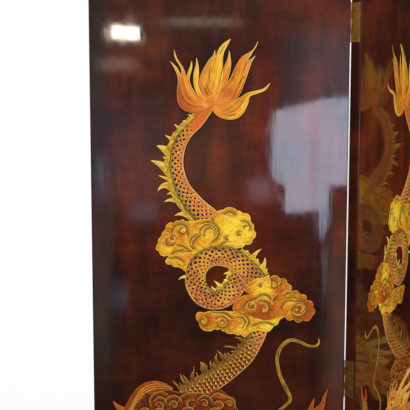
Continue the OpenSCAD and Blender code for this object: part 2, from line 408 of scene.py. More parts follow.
# Spines of the crest: base, bend and tip, then half the width of the base
TAIL_SPINES = (
    ((206, 1431), (198, 1437), (189, 1439), 4), ((196, 1420), (189, 1428), (178, 1426), 5.5),
    ((178, 1408), (171, 1414), (163, 1420), 4.5), ((169, 1399), (165, 1402), (161, 1405), 2.5),
    ((163, 1386), (155, 1394), (145, 1399), 5), ((156, 1375), (154, 1379), (152, 1382), 2.5),
    ((155, 1364), (140, 1376), (128, 1379), 9), ((154, 1350), (146, 1355), (140, 1357), 4),
    ((154, 1330), (136, 1345), (117, 1350), 10), ((156, 1312), (144, 1316), (132, 1321), 3.5),
    ((161, 1297), (140, 1309), (130, 1290), 8), ((164, 1285), (155, 1288), (148, 1284), 3.5),
    ((173, 1270), (158, 1277), (142, 1269), 6), ((182, 1256), (177, 1259), (172, 1257), 3),
    ((196, 1240), (178, 1250), (163, 1242), 6.5),
)
RING_OUT_SPINES = (
    ((291, 1180), (294, 1185), (299, 1187), 4.5), ((303, 1166), (304, 1172), (308, 1173), 4.5),
    ((314, 1155), (320, 1169), (333, 1176), 5), ((324, 1147), (325, 1153), (327, 1157), 4),
    ((334, 1137), (341, 1147), (340, 1159), 5.5), ((340, 1128), (342, 1133), (345, 1137), 4),
    ((342, 1116), (346, 1121), (350, 1124), 4), ((193, 1118), (181, 1125), (170, 1115), 4.5),
)
RING_IN_SPINES = (
    ((274, 1125), (267, 1130), (259, 1126), 4.5), ((273, 1108), (264, 1114), (259, 1115), 4.5),
    ((259, 1094), (251, 1103), (240, 1113), 6), ((244, 1090), (238, 1096), (235, 1102), 3.5),
)
# The forked, flame-like spines of the lower body: x, z and half width along each
LOWER_FLAMES = (
    [(300, 984, 4.5), (297, 991, 3.7), (291, 996, 2), (281, 998.5, 0.4)],
    [(291, 976, 2.5), (289, 981, 1.5), (288, 986, 0.4)],
    [(290, 972, 3.3), (284, 976, 2.8), (275, 978.5, 1.8), (267, 979.5, 1.3), (259.5, 979.5, 0.4)],
    [(284, 965, 2.5), (279, 969.5, 1.5), (273, 969, 0.4)],
    [(274, 957, 2.5), (270, 963, 2), (266, 967, 0.4)],
    [(263, 950, 3.3), (258, 957, 3.8), (253, 964, 2), (246.5, 972, 0.4)],
    [(268, 953, 2.9), (264, 960, 2.5), (261, 966.5, 0.4)],
    [(250, 942, 3.3), (245.5, 950, 3.1), (243.5, 957, 2), (246, 965, 0.4)],
    [(246, 937, 2.5), (241, 943, 2), (239, 949, 0.4)],
    [(241, 933, 3.7), (235.5, 940, 3.4), (232.5, 945.5, 1.6), (233.5, 951, 0.4)],
    [(226, 928, 1.6), (225, 935, 1.4), (226.5, 942, 0.4)],
    [(226, 926, 2.5), (222.5, 936, 3), (220, 944, 2.1), (213.5, 948, 0.4)],
    [(223, 922, 2.9), (217.5, 932, 4.1), (216.5, 940, 2.8), (213.5, 947.5, 0.4)],
    [(209, 909, 2.3), (208, 918, 1.8), (204.5, 927, 0.4)],
    [(203, 904, 3.1), (197.5, 914, 3.8), (197, 922, 2.8), (200, 930, 1.1), (199.5, 939, 0.4)],
    [(192, 899, 2.3), (187, 909, 2), (182, 916, 1.5), (178, 921, 0.4)],
    [(189, 896, 2.6), (181, 906, 2.8), (176, 914, 2), (172.5, 924, 0.4)],
    [(182, 892, 2.1), (177, 898, 1.5), (171, 905, 0.4)],
    [(176, 890, 2.5), (169, 897.5, 2.3), (163, 903.5, 1.5), (157.5, 909.5, 0.4)],
)

UPPER_CLOUD = [
    (245, 1250), (249, 1252), (254, 1254), (258, 1254), (264, 1258), (272, 1259), (281, 1256), (285, 1252),
    (290, 1252), (297, 1247), (306, 1246), (311, 1239), (312, 1230), (318, 1223), (318, 1214), (322, 1208),
    (321, 1199), (316, 1195), (315, 1189), (308, 1184), (302, 1185), (297, 1180), (283, 1177), (263, 1181),
    (244, 1181), (227, 1174), (214, 1164), (204, 1155), (197, 1146), (192, 1129), (185, 1130), (177, 1136),
    (169, 1140), (161, 1140), (156, 1145), (149, 1145), (144, 1150), (146, 1156), (151, 1163), (142, 1161),
    (134, 1165), (131, 1172), (126, 1174), (126, 1181), (130, 1188), (130, 1195), (136, 1201), (138, 1208),
    (144, 1215), (146, 1223), (154, 1229), (161, 1228), (165, 1232), (173, 1232), (178, 1235), (185, 1231),
    (192, 1232), (198, 1230), (212, 1234), (226, 1235), (238, 1241),
]
RIGHT_CLOUD = [
    (300, 1095), (303, 1102), (309, 1108), (317, 1114), (328, 1118), (340, 1119),
    *lobes((349, 1118), (370.5, 1117), (384.5, 1107.5), (391, 1089.5), (410.5, 1085.5), (423.5, 1073.5),
           (436, 1059.5), (434, 1041.5), (416, 1033), (397, 1035), (380.5, 1039.5)),
    (368, 1038), (358, 1034), (348, 1033), (338, 1033), (328, 1036), (318, 1038), (307, 1043), (297, 1048),
    (283, 1049), (277, 1056), (278, 1064), (283, 1072), (291, 1079), (301, 1084), (313, 1086), (304, 1089),
]
LOWER_CLOUD = [
    (204, 1042), (207, 1048), (213, 1050), (220, 1048), (228, 1051), (238, 1052), (249, 1051), (260, 1052),
    (272, 1051), (281, 1052), (297, 1058), (337, 1055), (367, 1051), (380, 1041), (372, 1035), (369, 1031),
    (366, 1024), (359, 1021), (355, 1015), (349, 1010), (342, 1010), (333, 1012), (323, 1011), (314, 1009),
    (307, 1003), (302, 999), (297, 1000), (293, 1004), (288, 1002), (283, 1004), (278, 1006), (272, 1005),
    (266, 1006), (262, 1010), (256, 1011), (253, 1015), (247, 1013), (241, 1015), (235, 1011), (227, 1011),
    (220, 1012), (214, 1017), (211, 1023), (210, 1029), (206, 1033),
]
MANE = [
    (98, 876), (101, 883), (106, 886), (112, 883), (118, 885), (129, 887), (138, 889), (151, 891),
    (161, 888), (173, 886), (186, 886), (202, 885), (218, 883), (232, 883), (237, 890), (247, 892),
    (256, 889), (264, 883), (270, 878), (279, 875), (284, 868), (283, 860), (288, 850), (291, 838),
    (286, 822), (270, 806), (250, 796), (225, 786), (200, 776), (170, 770), (140, 772), (112, 782),
    (92, 798), (80, 818), (76, 838), (80, 856), (90, 868),
]

# Curls drawn on the clouds: smooth lines, or spirals as (centre, radius, angle, last angle, last radius)
UPPER_CURLS = (
    [(159, 1209), (163, 1219), (171, 1224), (180, 1223), (186, 1216), (183, 1209), (176, 1208), (173, 1213),
      (178, 1216)],
    [(207, 1207), (198, 1202), (194, 1195), (192, 1186), (196, 1178), (201, 1174)],
    [(217, 1206), (209, 1203), (203, 1197), (197, 1190), (196, 1184)],
    [(214, 1224), (224, 1228), (236, 1226), (245, 1219), (248, 1208), (244, 1198), (235, 1192)],
    [(234, 1240), (236, 1230), (242, 1222)], [(262, 1244), (268, 1248), (275, 1247), (281, 1242)],
    [(140, 1186), (149, 1183), (158, 1182), (165, 1187)],
    [(158, 1164), (166, 1170), (178, 1172), (190, 1170), (200, 1172)],
    [(168, 1182), (177, 1181), (186, 1175), (192, 1168)], [(185, 1210), (187, 1206), (188, 1201)],
    [(148, 1199), (144, 1192), (146, 1184)], [(255, 1183), (262, 1189), (270, 1190)],
    [(292, 1230), (303, 1229), (310, 1220)], [(150, 1156), (162, 1158), (172, 1155), (180, 1148)],
    ((159, 1198), 7.5, 20, 390, 2.0), ((230, 1208), 17, 200, -60, 13), ((232, 1208), 10, 210, -50, 8),
    ((290, 1206), 7, 30, 400, 2.0), ((306, 1218), 6, 200, -60, 3), ((266, 1197), 7, 80, 350, 2.5),
    ((271, 1240), 8, 150, 20, 6),
)
RIGHT_CURLS = (
    [(350, 1117), (353, 1112), (352, 1106)], [(371, 1116), (372, 1110), (369, 1104)],
    [(322, 1074), (333, 1083), (344, 1082), (351, 1074)],
    [(364, 1083), (358, 1079), (356, 1072), (358, 1067)],
    [(376, 1058), (379, 1067), (387, 1072), (399, 1070)], [(384, 1075), (393, 1078), (403, 1075)],
    [(330, 1070), (338, 1070), (345, 1066), (348, 1058), (344, 1050), (337, 1049), (335, 1055)],
    [(391, 1090), (384, 1089), (378, 1085)], [(300, 1060), (308, 1070), (319, 1073)],
    ((332, 1103), 4.5, 0, 360, 3.0), ((358, 1104), 8, 130, -230, 2.5), ((315, 1062), 9, 130, 480, 2.5),
    ((403, 1054), 5.5, 200, -200, 2), ((409, 1057), 10, 130, -70, 9), ((407, 1056), 15, 120, -140, 14),
)
LOWER_CURLS = (
    [(276, 1050), (292, 1047), (304, 1039), (308, 1028), (302, 1018)],
    [(236, 1048), (250, 1048), (264, 1044), (274, 1036)],
    [(318, 1020), (330, 1026), (344, 1027), (358, 1022)],
    ((219, 1031), 9, 60, -280, 3), ((256, 1028), 12, 150, -200, 7), ((256, 1028), 4.5, 330, 0, 3),
    ((292, 1027), 11, 120, -60, 8),
)
MANE_CURLS = (
    [(113, 857), (111, 871), (120, 883), (136, 887), (149, 881)],
    [(120, 868), (129, 876), (141, 873), (146, 863)], [(168, 867), (175, 878), (192, 884), (212, 885)],
    [(230, 872), (246, 884), (264, 878), (281, 868), (283, 853)], ((132, 857), 10, 170, -220, 3),
    ((160, 860), 10, 200, -160, 4), ((160, 860), 20, 165, 20, 18), ((195, 860), 10, 50, 350, 5),
    ((221, 863), 9, 150, -220, 3), ((222, 863), 17, 165, 5, 16), ((251, 858), 12, 170, -150, 4),
    ((271, 862), 8, 150, -180, 3), ((103, 841), 15, 200, -230, 4), ((133, 839), 16, 175, -240, 4),
    ((163, 838), 13, 210, -200, 3), ((190, 842), 16, 185, -250, 4), ((217, 838), 14, 230, -210, 3),
    ((243, 840), 16, 180, -230, 4), ((269, 838), 12, 210, -200, 3), ((97, 816), 16, 195, -240, 4),
    ((124, 816), 13, 220, -200, 3), ((150, 814), 17, 180, -240, 4), ((244, 818), 12, 220, -200, 3),
    ((268, 818), 12, 180, -240, 4), ((112, 793), 15, 190, -220, 4), ((139, 791), 13, 220, -240, 3),
)

# Each cloud's outline, place among the heights, curls and seed, then its tone as spots has it
CLOUDS = (
    (LOWER_CLOUD, "bank", LOWER_CURLS, 0.4, (
        0.55, (222, 1030, 26, 0.3), (268, 1030, 24, 0.35), (350, 1028, 36, 0.9), (300, 1010, 20, 0.7),
    )),
    (UPPER_CLOUD, "cloud", UPPER_CURLS, 0.0, (
        0.55, (285, 1215, 50, 0.95), (225, 1205, 26, 0.75), (160, 1205, 30, 0.4), (144, 1166, 22, 0.75),
        (170, 1150, 24, 0.6), (276, 1248, 14, 0.5),
    )),
    (RIGHT_CLOUD, "near", RIGHT_CURLS, 0.8, (
        0.3, (335, 1098, 34, 0.8), (386, 1072, 20, 0.55), (368, 1116, 18, 0.2), (421, 1052, 32, 0.0),
        (335, 1046, 34, 0.05),
    )),
)

# The head, the forebody and the legs, which lie below the photograph
NECK_ARCH = [
    (158, 893, 2), (150, 894, 5), (139, 897, 8), (123, 898, 11), (107, 893, 13), (95, 884, 13.5),
    (86, 873, 13), (79, 860, 13), (72, 845, 14), (62, 824, 14), (50, 800, 13), (39, 774, 11), (34, 748, 8),
    (40, 722, 4), (52, 704, 0.5),
]
LOCKS = (
    [(112, 804, 9), (86, 792, 11), (64, 768, 9), (58, 738, 6), (70, 712, 0.5)],
    [(122, 788, 9), (100, 766, 11), (84, 738, 9), (80, 708, 5), (92, 684, 0.5)],
    [(140, 778, 8), (124, 750, 10), (114, 722, 8), (112, 694, 5), (124, 668, 0.5)],
)
ARM_FLAMES = (
    [(433, 846, 6), (437, 860, 3.5), (441, 874, 0.5)],
    [(447, 842, 11), (457, 859, 5.5), (461, 874, 3.5), (468, 892, 0.5)],
)
HEAD = [
    (162, 768), (170, 788), (192, 800), (220, 808), (248, 812), (264, 820), (280, 818), (292, 806),
    (302, 793), (318, 788), (334, 793), (350, 795), (364, 786), (370, 772), (364, 758), (350, 749),
    (334, 746), (312, 742), (288, 735), (264, 724), (240, 714), (214, 710), (188, 720), (170, 742),
]
JAW = [
    (214, 714), (240, 716), (262, 719), (284, 711), (308, 703), (328, 704), (342, 716), (349, 706),
    (342, 690), (322, 678), (294, 674), (264, 681), (236, 692), (216, 702),
]
MOUTH = [
    (256, 722), (288, 737), (320, 745), (350, 751), (352, 728), (344, 710), (326, 700), (300, 702),
    (276, 710),
]
# Four teeth above, the long one, and three below: base, bend and tip, then half the width of the base
TEETH = (
    *(((x, 737 + 3 * k), (x, 730), (x + 2, 725 + 2 * k), 3) for k, x in enumerate((282, 296, 310, 324))),
    ((344, 750), (346, 738), (340, 724), 4),
    *(((x, 704), (x, 710), (x + 2, 716), 3) for x in (292, 306, 320)),
)
JAW_LINE = [(240, 700), (270, 694), (302, 688), (328, 694)]
EYELID = [(254, 793, 2), (266, 802, 4.5), (282, 801, 4), (296, 790, 1)]
TONGUE = [(266, 718, 3), (292, 716, 7), (318, 720, 7), (340, 728, 5), (358, 724, 3), (372, 733, 0.5)]
HORNS = (
    [(232, 800, 8), (206, 816, 8), (176, 828, 6.5), (148, 836, 4.5), (120, 832, 0.5)],
    [(186, 822, 5), (170, 836, 4), (160, 844, 0.5)],
    [(214, 790, 6), (188, 798, 7), (160, 800, 5.5), (134, 808, 3.5), (108, 802, 0.5)],
)
EAR = [(196, 770, 3), (178, 778, 9), (160, 778, 8), (142, 786, 0.5)]
BROWS = (
    ((262, 806), (252, 822), (236, 830), 6), ((274, 810), (270, 830), (256, 842), 6),
    ((286, 806), (288, 826), (278, 840), 5.5), ((296, 798), (304, 814), (298, 828), 4.5),
)
FRILL = (
    [(196, 752, 7), (172, 744, 9), (150, 748, 6), (128, 762, 0.5)],
    [(196, 738, 7), (172, 722, 9), (148, 720, 6), (124, 730, 0.5)],
    [(206, 724, 7), (186, 702, 9), (164, 694, 6), (138, 700, 0.5)],
    [(222, 714, 7), (208, 686, 9), (190, 672, 6), (164, 670, 0.5)],
)
BEARD = (
    [(270, 686, 5), (266, 662, 7), (252, 644, 5), (252, 622, 0.5)],
    [(296, 680, 5), (300, 654, 7), (290, 632, 5), (298, 608, 0.5)],
    [(322, 684, 5), (334, 660, 7), (330, 638, 5), (344, 618, 0.5)],
)
HEAD_CURLS = (
    [(240, 770), (256, 774), (274, 770), (290, 762), (306, 762)],
    [(230, 752), (252, 752), (276, 748), (300, 748)],
    [(300, 782), (314, 776), (330, 776)],
    ((352, 776), 8, 240, -60, 4), ((222, 736), 14, 30, 330, 4), ((206, 776), 11, 60, 330, 4),
    ((238, 728), 9, 40, 320, 4),
)
FOREBODY = [
    (186, 756, 26), (146, 722, 29), (114, 684, 31), (98, 640, 32), (104, 594, 32), (134, 558, 31),
    (180, 542, 30), (228, 548, 29), (272, 566, 28), (314, 572, 27), (350, 554, 25), (370, 520, 24),
    (366, 482, 22), (340, 456, 20), (304, 446, 18), (270, 452, 16),
]
LIMBS = (
    [(322, 584, 26), (366, 622, 24), (398, 668, 21), (416, 720, 18), (426, 772, 16), (436, 820, 14),
     (441, 838, 10), (443, 846, 2)],
    [(436, 846, 2), (443, 838, 11), (454, 812, 13), (466, 776, 12), (470, 744, 11), (467, 716, 9)],
    [(122, 604, 24), (82, 566, 20), (54, 524, 15), (52, 484, 11)],
)
# Palm of each paw, then the knuckle and the claw's tip of each toe
PAWS = (
    ((466, 716), ((430, 704), (410, 678)), ((444, 690), (434, 660)), ((466, 684), (466, 652)),
     ((484, 696), (490, 664))),
    ((54, 486), ((28, 474), (14, 450)), ((44, 462), (36, 434)), ((66, 458), (70, 430)),
     ((86, 472), (102, 450))),
)
HOCK_FLAMES = (
    [(66, 552, 6), (44, 560, 5), (20, 580, 0.5)], [(56, 532, 6), (36, 532, 5), (14, 544, 0.5)],
    [(330, 600, 6), (316, 624, 5), (322, 648, 0.5)], [(352, 622, 6), (346, 646, 5), (358, 668, 0.5)],
)
PEARL = (448, 596)
PEARL_R = 20.0
SEA_R = 47.0  # radius of a wave
SEA_ROWS = ((160, 4, 106), (124, 5, 59), (88, 4, 106), (52, 5, 59), (16, 4, 106))  # height, count, first x
# Middle, half width and half height of each cloud, its number of bumps, and 1 or -1 for its wisp's side
LOW_CLOUDS = (
    (246, 446, 56, 20, 9, -1), (118, 398, 62, 21, 11, 1), (384, 386, 66, 22, 11, -1),
    (236, 318, 74, 21, 12, 1), (84, 272, 40, 14, 8, 1), (408, 270, 40, 14, 8, -1),
)


def curl(curve):
    """The points of a curl, given as a list of them or as a spiral."""
    return arc(*curve) if isinstance(curve, tuple) else curve


def ink(layers, points, lift, crown, tone):
    """A thin drawn line, from dark to pale by its tone."""
    stroke(layers["line"], points, lift, crown, tone, across=THIN)


def engraved(layers, curve, lift, dark=0.7, pale=0.5):
    """A curl drawn as a dark line with a pale line on its inner side and a fainter one beyond, all tapering
    to their ends. dark and pale are their half widths."""
    line = spline(curl(curve), CURL_STEP)
    count = len(line) - 1
    taper = [0.35 + 0.65 * smooth(min(i, count - i) / count, 0.0, 0.25) for i in range(count + 1)]
    passes = ((0.0, dark, 0.0, 0.0, 1.0), (1.3, pale, 0.7, 0.02, 1.0), (2.8, dark * 0.7, 0.15, 0.0, 0.6))
    for apart, half, tone, high, length in passes if pale else passes[:1]:
        shifted = []
        for i, (x, z) in enumerate(line[:round(count * length)]):
            dx, dz = heading(line, i)
            shifted.append((x + dz * apart, z - dx * apart, half * taper[i]))
        ink(layers, shifted, lift + high, 0.03, tone)


def shaded(layers, points, extra=HALO):
    """The dark edge that sets a stroke off from the ground."""
    wider = [(x, z, w + extra) for x, z, w in points]
    stroke(layers["shade"], wider, LIFT["shade"], 0.0, across=THIN, step=4.0)


def edged(layers, key, points, *look):
    """A stroke with its dark edge."""
    shaded(layers, points)
    stroke(layers[key], points, *look)


def crest(layers, points, lift, side, base=3.5, seed=0.0, tone=0.55):
    """The fin from which the spines rise: a strip along the back of the body, on the given side of its
    line."""
    line = spline(points, 6.0)
    strip = []
    for i, (x, z, half) in enumerate(line):
        dx, dz = heading(line, i)
        reach = (half + base * 0.45) * side
        strip.append((x - dz * reach, z + dx * reach, base * (0.9 + 0.2 * sin(i * 1.9 + seed))))
    stroke(layers["fin"], strip, lift, 0.05, tone, seed, 0.0)


def crest_spine(layers, base, bend, tip, half, lift, tone, seed):
    """One spine of the crest with its dark edge."""
    spine(layers["fin"], base, bend, tip, half, lift - 0.04, tone, seed)
    spine(layers["shade"], base, bend, tip, half + SPINE_HALO, LIFT["shade"], crown=0.0)


def figure(layers, key, outline, lift, tone, curls, seed, dark=0.7, pale=0.5, bulge=7.0, grid=1.7):
    """A patch with its shade round it and its curls on it."""
    patch(layers["shade"], widened(outline, HALO), LIFT["shade"], 0.0, grid=0, step=4.0)
    patch(layers[key], outline, lift, 0.14, bulge, tone, seed, grid, 2.0, curls)
    for curve in curls:
        engraved(layers, curve, lift + 0.19, dark, pale)


def paint_tuft(layers):
    for number, (points, tone) in enumerate(FLAMES):
        edged(layers, "flame", points, LIFT["far"] + 0.1 * number, 0.1, tone, number * 0.37)
    stroke(layers["flame"], KNOT, LIFT["near"], 0.12, 0.45, 2.3)
    for line in TUFT_LINES:
        ink(layers, line, LIFT["near"] + 0.05, 0.02, 0.05)


def paint_loop(layers):
    """The body from the tuft to the mane. Its side is 1 where the back is on the left of the way along it,
    and -1 where the back is on the right."""
    body = layers["body"]
    for points in (TAIL, RING_IN, RING_OUT, LOWER_BODY):
        shaded(layers, points)
    stroke(body, LOWER_BODY, LIFT["body"], 0.16, lambda t: 1.3 + 0.7 * smooth(t, 0, 0.5), 0.2, -1.0)
    crest(layers, LOWER_BODY, LIFT["far"], -1, 4.0, tone=0.08)
    stroke(body, TAIL, LIFT["body"], 0.16, lambda t: smooth(t, 0.16, 0.32), 0.1, -1.0)
    crest(layers, TAIL[2:], LIFT["far"], -1, 6.0, 1.0)
    stroke(body, RING_IN, LIFT["ring_in"], 0.16, 1.0, 0.3, lambda t: -1.0 + 0.6 * smooth(t, 0.6, 1))
    crest(layers, RING_IN[:5], LIFT["ring_in"] - 0.05, -1, 3.5, 2.0)
    stroke(body, RING_OUT, LIFT["ring_out"], 0.18, 1.0, 0.4, lambda t: -0.7 + 1.7 * smooth(t, 0.05, 0.4))
    crest(layers, RING_OUT[7:], LIFT["ring_out"] - 0.05, 1, 5.0, 3.0)
    for spines, lift, tone in (
        (TAIL_SPINES, "far", 0.6), (RING_IN_SPINES, "ring_in", 0.8), (RING_OUT_SPINES, "ring_out", 0.8),
    ):
        for number, (base, bend, tip, half) in enumerate(spines):
            crest_spine(layers, base, bend, tip, half * 1.2, LIFT[lift], tone, number * 0.61)
    for number, points in enumerate(LOWER_FLAMES):
        shaded(layers, points, 1.3)
        stroke(layers["fin"], points, LIFT["body"] + 0.02 * number, 0.1, -0.05, number * 0.61, step=1.5)


def paint_clouds(layers):
    for outline, lift, curls, seed, tones in CLOUDS:
        figure(layers, "cloud", outline, LIFT[lift], spots(*tones), curls, seed)


def paint_mane(layers):
    edged(layers, "mane", NECK_ARCH, LIFT["far"], 0.25, 0.5, 0.5)
    for share in (-0.45, 0.0, 0.45):
        rib = [(x, z + share * w, w / 20) for x, z, w in NECK_ARCH[:-1]]
        ink(layers, rib, LIFT["far"] + 0.25, 0.03, 0.55)
    spine(layers["mane"], (70, 840), (48, 850), (38, 868), 12, LIFT["far"] - 0.02, 0.75)
    for number, points in enumerate(LOCKS):
        edged(layers, "mane", points, LIFT["body"] + 0.03 * number, 0.15, 0.7, 1.1 + number)
    tone = spots(0.25, (262, 874, 20, 0.6), (236, 886, 14, 0.5))
    figure(layers, "mane", MANE, LIFT["bank"], tone, MANE_CURLS, 0.7, 0.45, 0.0, 9.0)
    for curve in MANE_CURLS:
        line = spline(curl(curve), CURL_STEP)
        line = [(x, z, 0.3 + 0.3 * sin(pi * i / len(line))) for i, (x, z) in enumerate(line)]
        ink(layers, line, LIFT["bank"] + 0.22, 0.04, 0.5)
    for points in ARM_FLAMES:
        edged(layers, "mane", points, LIFT["far"] + 0.3, 0.1, 0.6, 0.9)


def paint_whisker(layers):
    shaded(layers, WHISKER, 1.0)
    stroke(layers["fin"], WHISKER, LIFT["near"], 0.2, 0.25, 0.3, 0.0)


def disc(centre, radius, squash=1.0):
    """The outline of a disc, or of an oval as high as the share squash of its width."""
    turns = [k * pi / 6 for k in range(12)]
    return [(centre[0] + radius * cos(a), centre[1] + radius * squash * sin(a)) for a in turns]


def paint_head(layers):
    """The head in profile, with its mouth open towards the whisker's root."""
    for points in (*HORNS, EAR, *FRILL, *BEARD):
        shaded(layers, points)
    for number, points in enumerate((*FRILL, *BEARD)):
        tone = 0.3 + 0.2 * (number % 2)
        stroke(layers["flame"], points, LIFT["bank"] + 0.05 * number, 0.12, tone, number * 0.7)
    patch(layers["shade"], widened(MOUTH, 1.0), LIFT["ring_in"], 0.0, grid=0)
    stroke(layers["flame"], TONGUE, LIFT["ring_in"] + 0.06, 0.1, -0.1, 0.4)
    figure(layers, "head", JAW, LIFT["ring_in"] + 0.1, 0.45, (JAW_LINE,), 0.3)
    tone = spots(0.5, (340, 775, 30, 0.85), (215, 745, 40, 0.25))
    figure(layers, "head", HEAD, LIFT["cloud"], tone, HEAD_CURLS, 0.9)
    for base, bend, tip, half in TEETH:
        spine(layers["line"], base, bend, tip, half, LIFT["cloud"], 1.0)
    for number, points in enumerate((*HORNS, EAR)):
        stroke(layers["head"], points, LIFT["cloud"] + 0.2 + 0.04 * number, 0.15, 0.75, 0.2 * number)
    for number, (base, bend, tip, half) in enumerate(BROWS):
        spine(layers["flame"], base, bend, tip, half, LIFT["ring_out"] + 0.03 * number, 0.5, number)
    patch(layers["line"], disc((272, 790), 9.5, 0.75), LIFT["ring_out"] + 0.05, 0.15, 5.0, 1.0, grid=0)
    patch(layers["shade"], disc((275, 790), 4.2), LIFT["ring_out"] + 0.23, 0.05, grid=0)
    stroke(layers["flame"], EYELID, LIFT["near"], 0.15, 0.1)
    patch(layers["shade"], disc((354, 777), 3.4, 0.8), LIFT["cloud"] + 0.2, 0.0, grid=0)


def paint_forebody(layers):
    """The body below the head with its row of spines, and the legs."""
    edged(layers, "body", FOREBODY, LIFT["body"], 0.18, 1.0, 0.6, -1.0)
    crest(layers, FOREBODY[1:-1], LIFT["far"], -1, 5.0, 2.4)
    line = spline(FOREBODY[2:-1], 24.0)
    last = (0, 0)
    for i, (x, z, half) in enumerate(line):
        dx, dz = heading(line, i)
        root = (x + dz * (half + 1), z - dx * (half + 1))
        size = 15 + 4 * (i % 2)
        bend = (root[0] + dz * size * 0.6 - dx * 2, root[1] - dx * size * 0.6 - dz * 2)
        tip = (root[0] + dz * size - dx * 12, root[1] - dx * size - dz * 12)
        if dist(tip, last) >= 15:
            last = tip
            crest_spine(layers, root, bend, tip, 6.5, LIFT["far"], 0.6, i * 0.6)
    for number, points in enumerate(HOCK_FLAMES):
        edged(layers, "mane", points, LIFT["far"] + 0.04 * number, 0.1, 0.7, 0.9)
    for number, points in enumerate(LIMBS):
        edged(layers, "body", points, LIFT["bank"] + 0.04 * number, 0.16, 1.0, 0.7 + number, 1.0)
    for palm, *fingers in PAWS:
        for number, (knuckle, tip) in enumerate(fingers):
            paint_finger(layers, palm, knuckle, tip, number)


def paint_finger(layers, palm, knuckle, tip, number):
    """A toe from the palm past the knuckle, and the claw from the knuckle to its tip."""
    toe = [(*palm, 8), (*knuckle, 6), ((knuckle[0] + tip[0]) / 2, (knuckle[1] + tip[1]) / 2, 4)]
    bent = ((knuckle[0] + 2 * tip[0]) / 3, (knuckle[1] + 2 * tip[1]) / 3 - 3, 3)
    claw = [(*knuckle, 4.5), bent, (*tip, 0.5)]
    lift = LIFT["ring_in"] + 0.05 * number
    shaded(layers, toe)
    shaded(layers, claw, 1.2)
    stroke(layers["head"], toe, lift, 0.12, 0.5, number)
    stroke(layers["line"], claw, lift - 0.05, 0.1, 1.0, number)


def paint_pearl(layers):
    x, z = PEARL
    for k in range(6):
        a = radians(-15 + 35 * k)
        long = 24 + 16 * sin(a)
        sway = 7 * (-1) ** k
        flame = [
            (x + 14 * cos(a), z + 14 * sin(a), 6),
            (x + (20 + long / 3) * cos(a), z + (16 + long / 2) * sin(a) + 2, 4),
            (x + (20 + long / 2) * cos(a) + sway, z + (20 + long) * sin(a) + 12, 0.5),
        ]
        edged(layers, "flame", flame, LIFT["far"] + 0.04 * k, 0.1, 0.35 + 0.3 * (k % 2), k * 0.5)
    figure(layers, "head", disc(PEARL, PEARL_R), LIFT["bank"], 0.9, ((PEARL, 11, 120, -240, 3),), 0.5)


def scalloped(middle, wide, high, bumps, swell):
    """The outline of a cloud: an oval with round bumps of equal length along it."""
    oval = [(wide * cos(2 * pi * k / 180), high * sin(2 * pi * k / 180)) for k in range(181)]
    runs = [0.0]
    for a, b in zip(oval, oval[1:]):
        runs.append(runs[-1] + dist(a, b))
    outline = []
    for (x, z), run in zip(oval[:180:2], runs[::2]):
        out = Vector((x * high / wide, z * wide / high)).normalized()
        push = swell * abs(sin(pi * bumps * run / runs[-1]))
        outline.append((middle[0] + x + out.x * push, middle[1] + z + out.y * push))
    return outline


def paint_low_cloud(layers, number, x, z, wide, high, bumps, way):
    """A cloud by the forebody, with three spirals and with a wisp on one side."""
    def spot(a, b):
        return x + wide * a, z + high * b

    curls = [(spot(a, 0.12), high * 0.5, 160, -230, high * 0.14) for a in (-0.64, 0.02, 0.62)]
    for a, b in ((-0.5, 0.0), (0.2, 0.66)):
        curls.append([spot(a, -0.45), spot(a + 0.22, -0.72), spot(b, -0.5)])
    wisp = [
        (*spot(0.7 * way, -0.2), high * 0.34), (*spot(1.1 * way, -0.55), high * 0.3),
        (*spot(1.4 * way, -0.3), high * 0.18), (*spot(1.62 * way, -0.5), 0.5),
    ]
    edged(layers, "cloud", wisp, LIFT["cloud"] - 0.1, 0.12, 0.4, number)
    tone = spots(0.45, (x + wide * 0.4, z, wide * 0.6, 0.85), (x - wide * 0.6, z, wide * 0.5, 0.3))
    outline = scalloped((x, z), wide, high, bumps, high * 0.3)
    figure(layers, "cloud", outline, LIFT["cloud"] + 0.03 * number, tone, curls, number * 1.2, grid=2.4)


def paint_low_clouds(layers):
    for number, cloud in enumerate(LOW_CLOUDS):
        paint_low_cloud(layers, number, *cloud)


def paint_wave(layers, x, z, lift, seed):
    """A round wave, whose foot goes down behind the row in front of it."""
    reach = SEA_R - 0.8
    low, deep = max(z - 16, 14), max(z - 38, 14)
    foot = ((1, low), (0.5, (low + deep) / 2), (0, deep), (-0.5, (low + deep) / 2), (-1, low))
    outline = arc((x, z), reach, 180, 0)[::3] + [(x + reach * a, b) for a, b in foot]
    patch(layers["shade"], widened(outline, HALO), lift - 0.03, 0.0, grid=0, step=4.0)
    patch(layers["mane"], outline, lift, 0.0, 7.0, -0.2, seed, 7.0, 4.0)


def paint_sea(layers):
    """Rows of round waves along the foot, each row in front of the one above it."""
    for row, (z, count, first) in enumerate(SEA_ROWS):
        lift = LIFT["far"] + 0.24 * row
        for k in range(count):
            x = first + 2 * SEA_R * k
            paint_wave(layers, x, z, lift, row + 0.3 * k)
            for share, half in ((0.9, 4.0), (0.57, 3.4), (0.27, 2.8)):
                ring = [(*p, half) for p in arc((x, z), SEA_R * share, 176, 4)[::2]]
                tone = 0.3 + 0.5 * share
                stroke(layers["cloud"], ring, lift + 0.03, 0.1, tone, row + k + share, step=4.0, across=THIN)


# Materials

# Distances between the marks on the dragon's body, in mm
DOT_PITCH = 11.4
PLATE_PITCH = 5.2
BAND_PITCH = 6.0
SCALE_ALONG, SCALE_ACROSS = 8.2, 8.8
SCALE_REACH = 8.0  # mm from the middle of a scale to where its colours end
WARP = 5.0  # mm by which the rows of dots and scales wander


def srgb(red, green, blue):
    """A colour as it looks on a screen, from 0 to 255, for a shader."""
    shares = (c / 255 for c in (red, green, blue))
    return (*(s / 12.92 if s <= 0.0405 else ((s + 0.055) / 1.055) ** 2.4 for s in shares), 1.0)


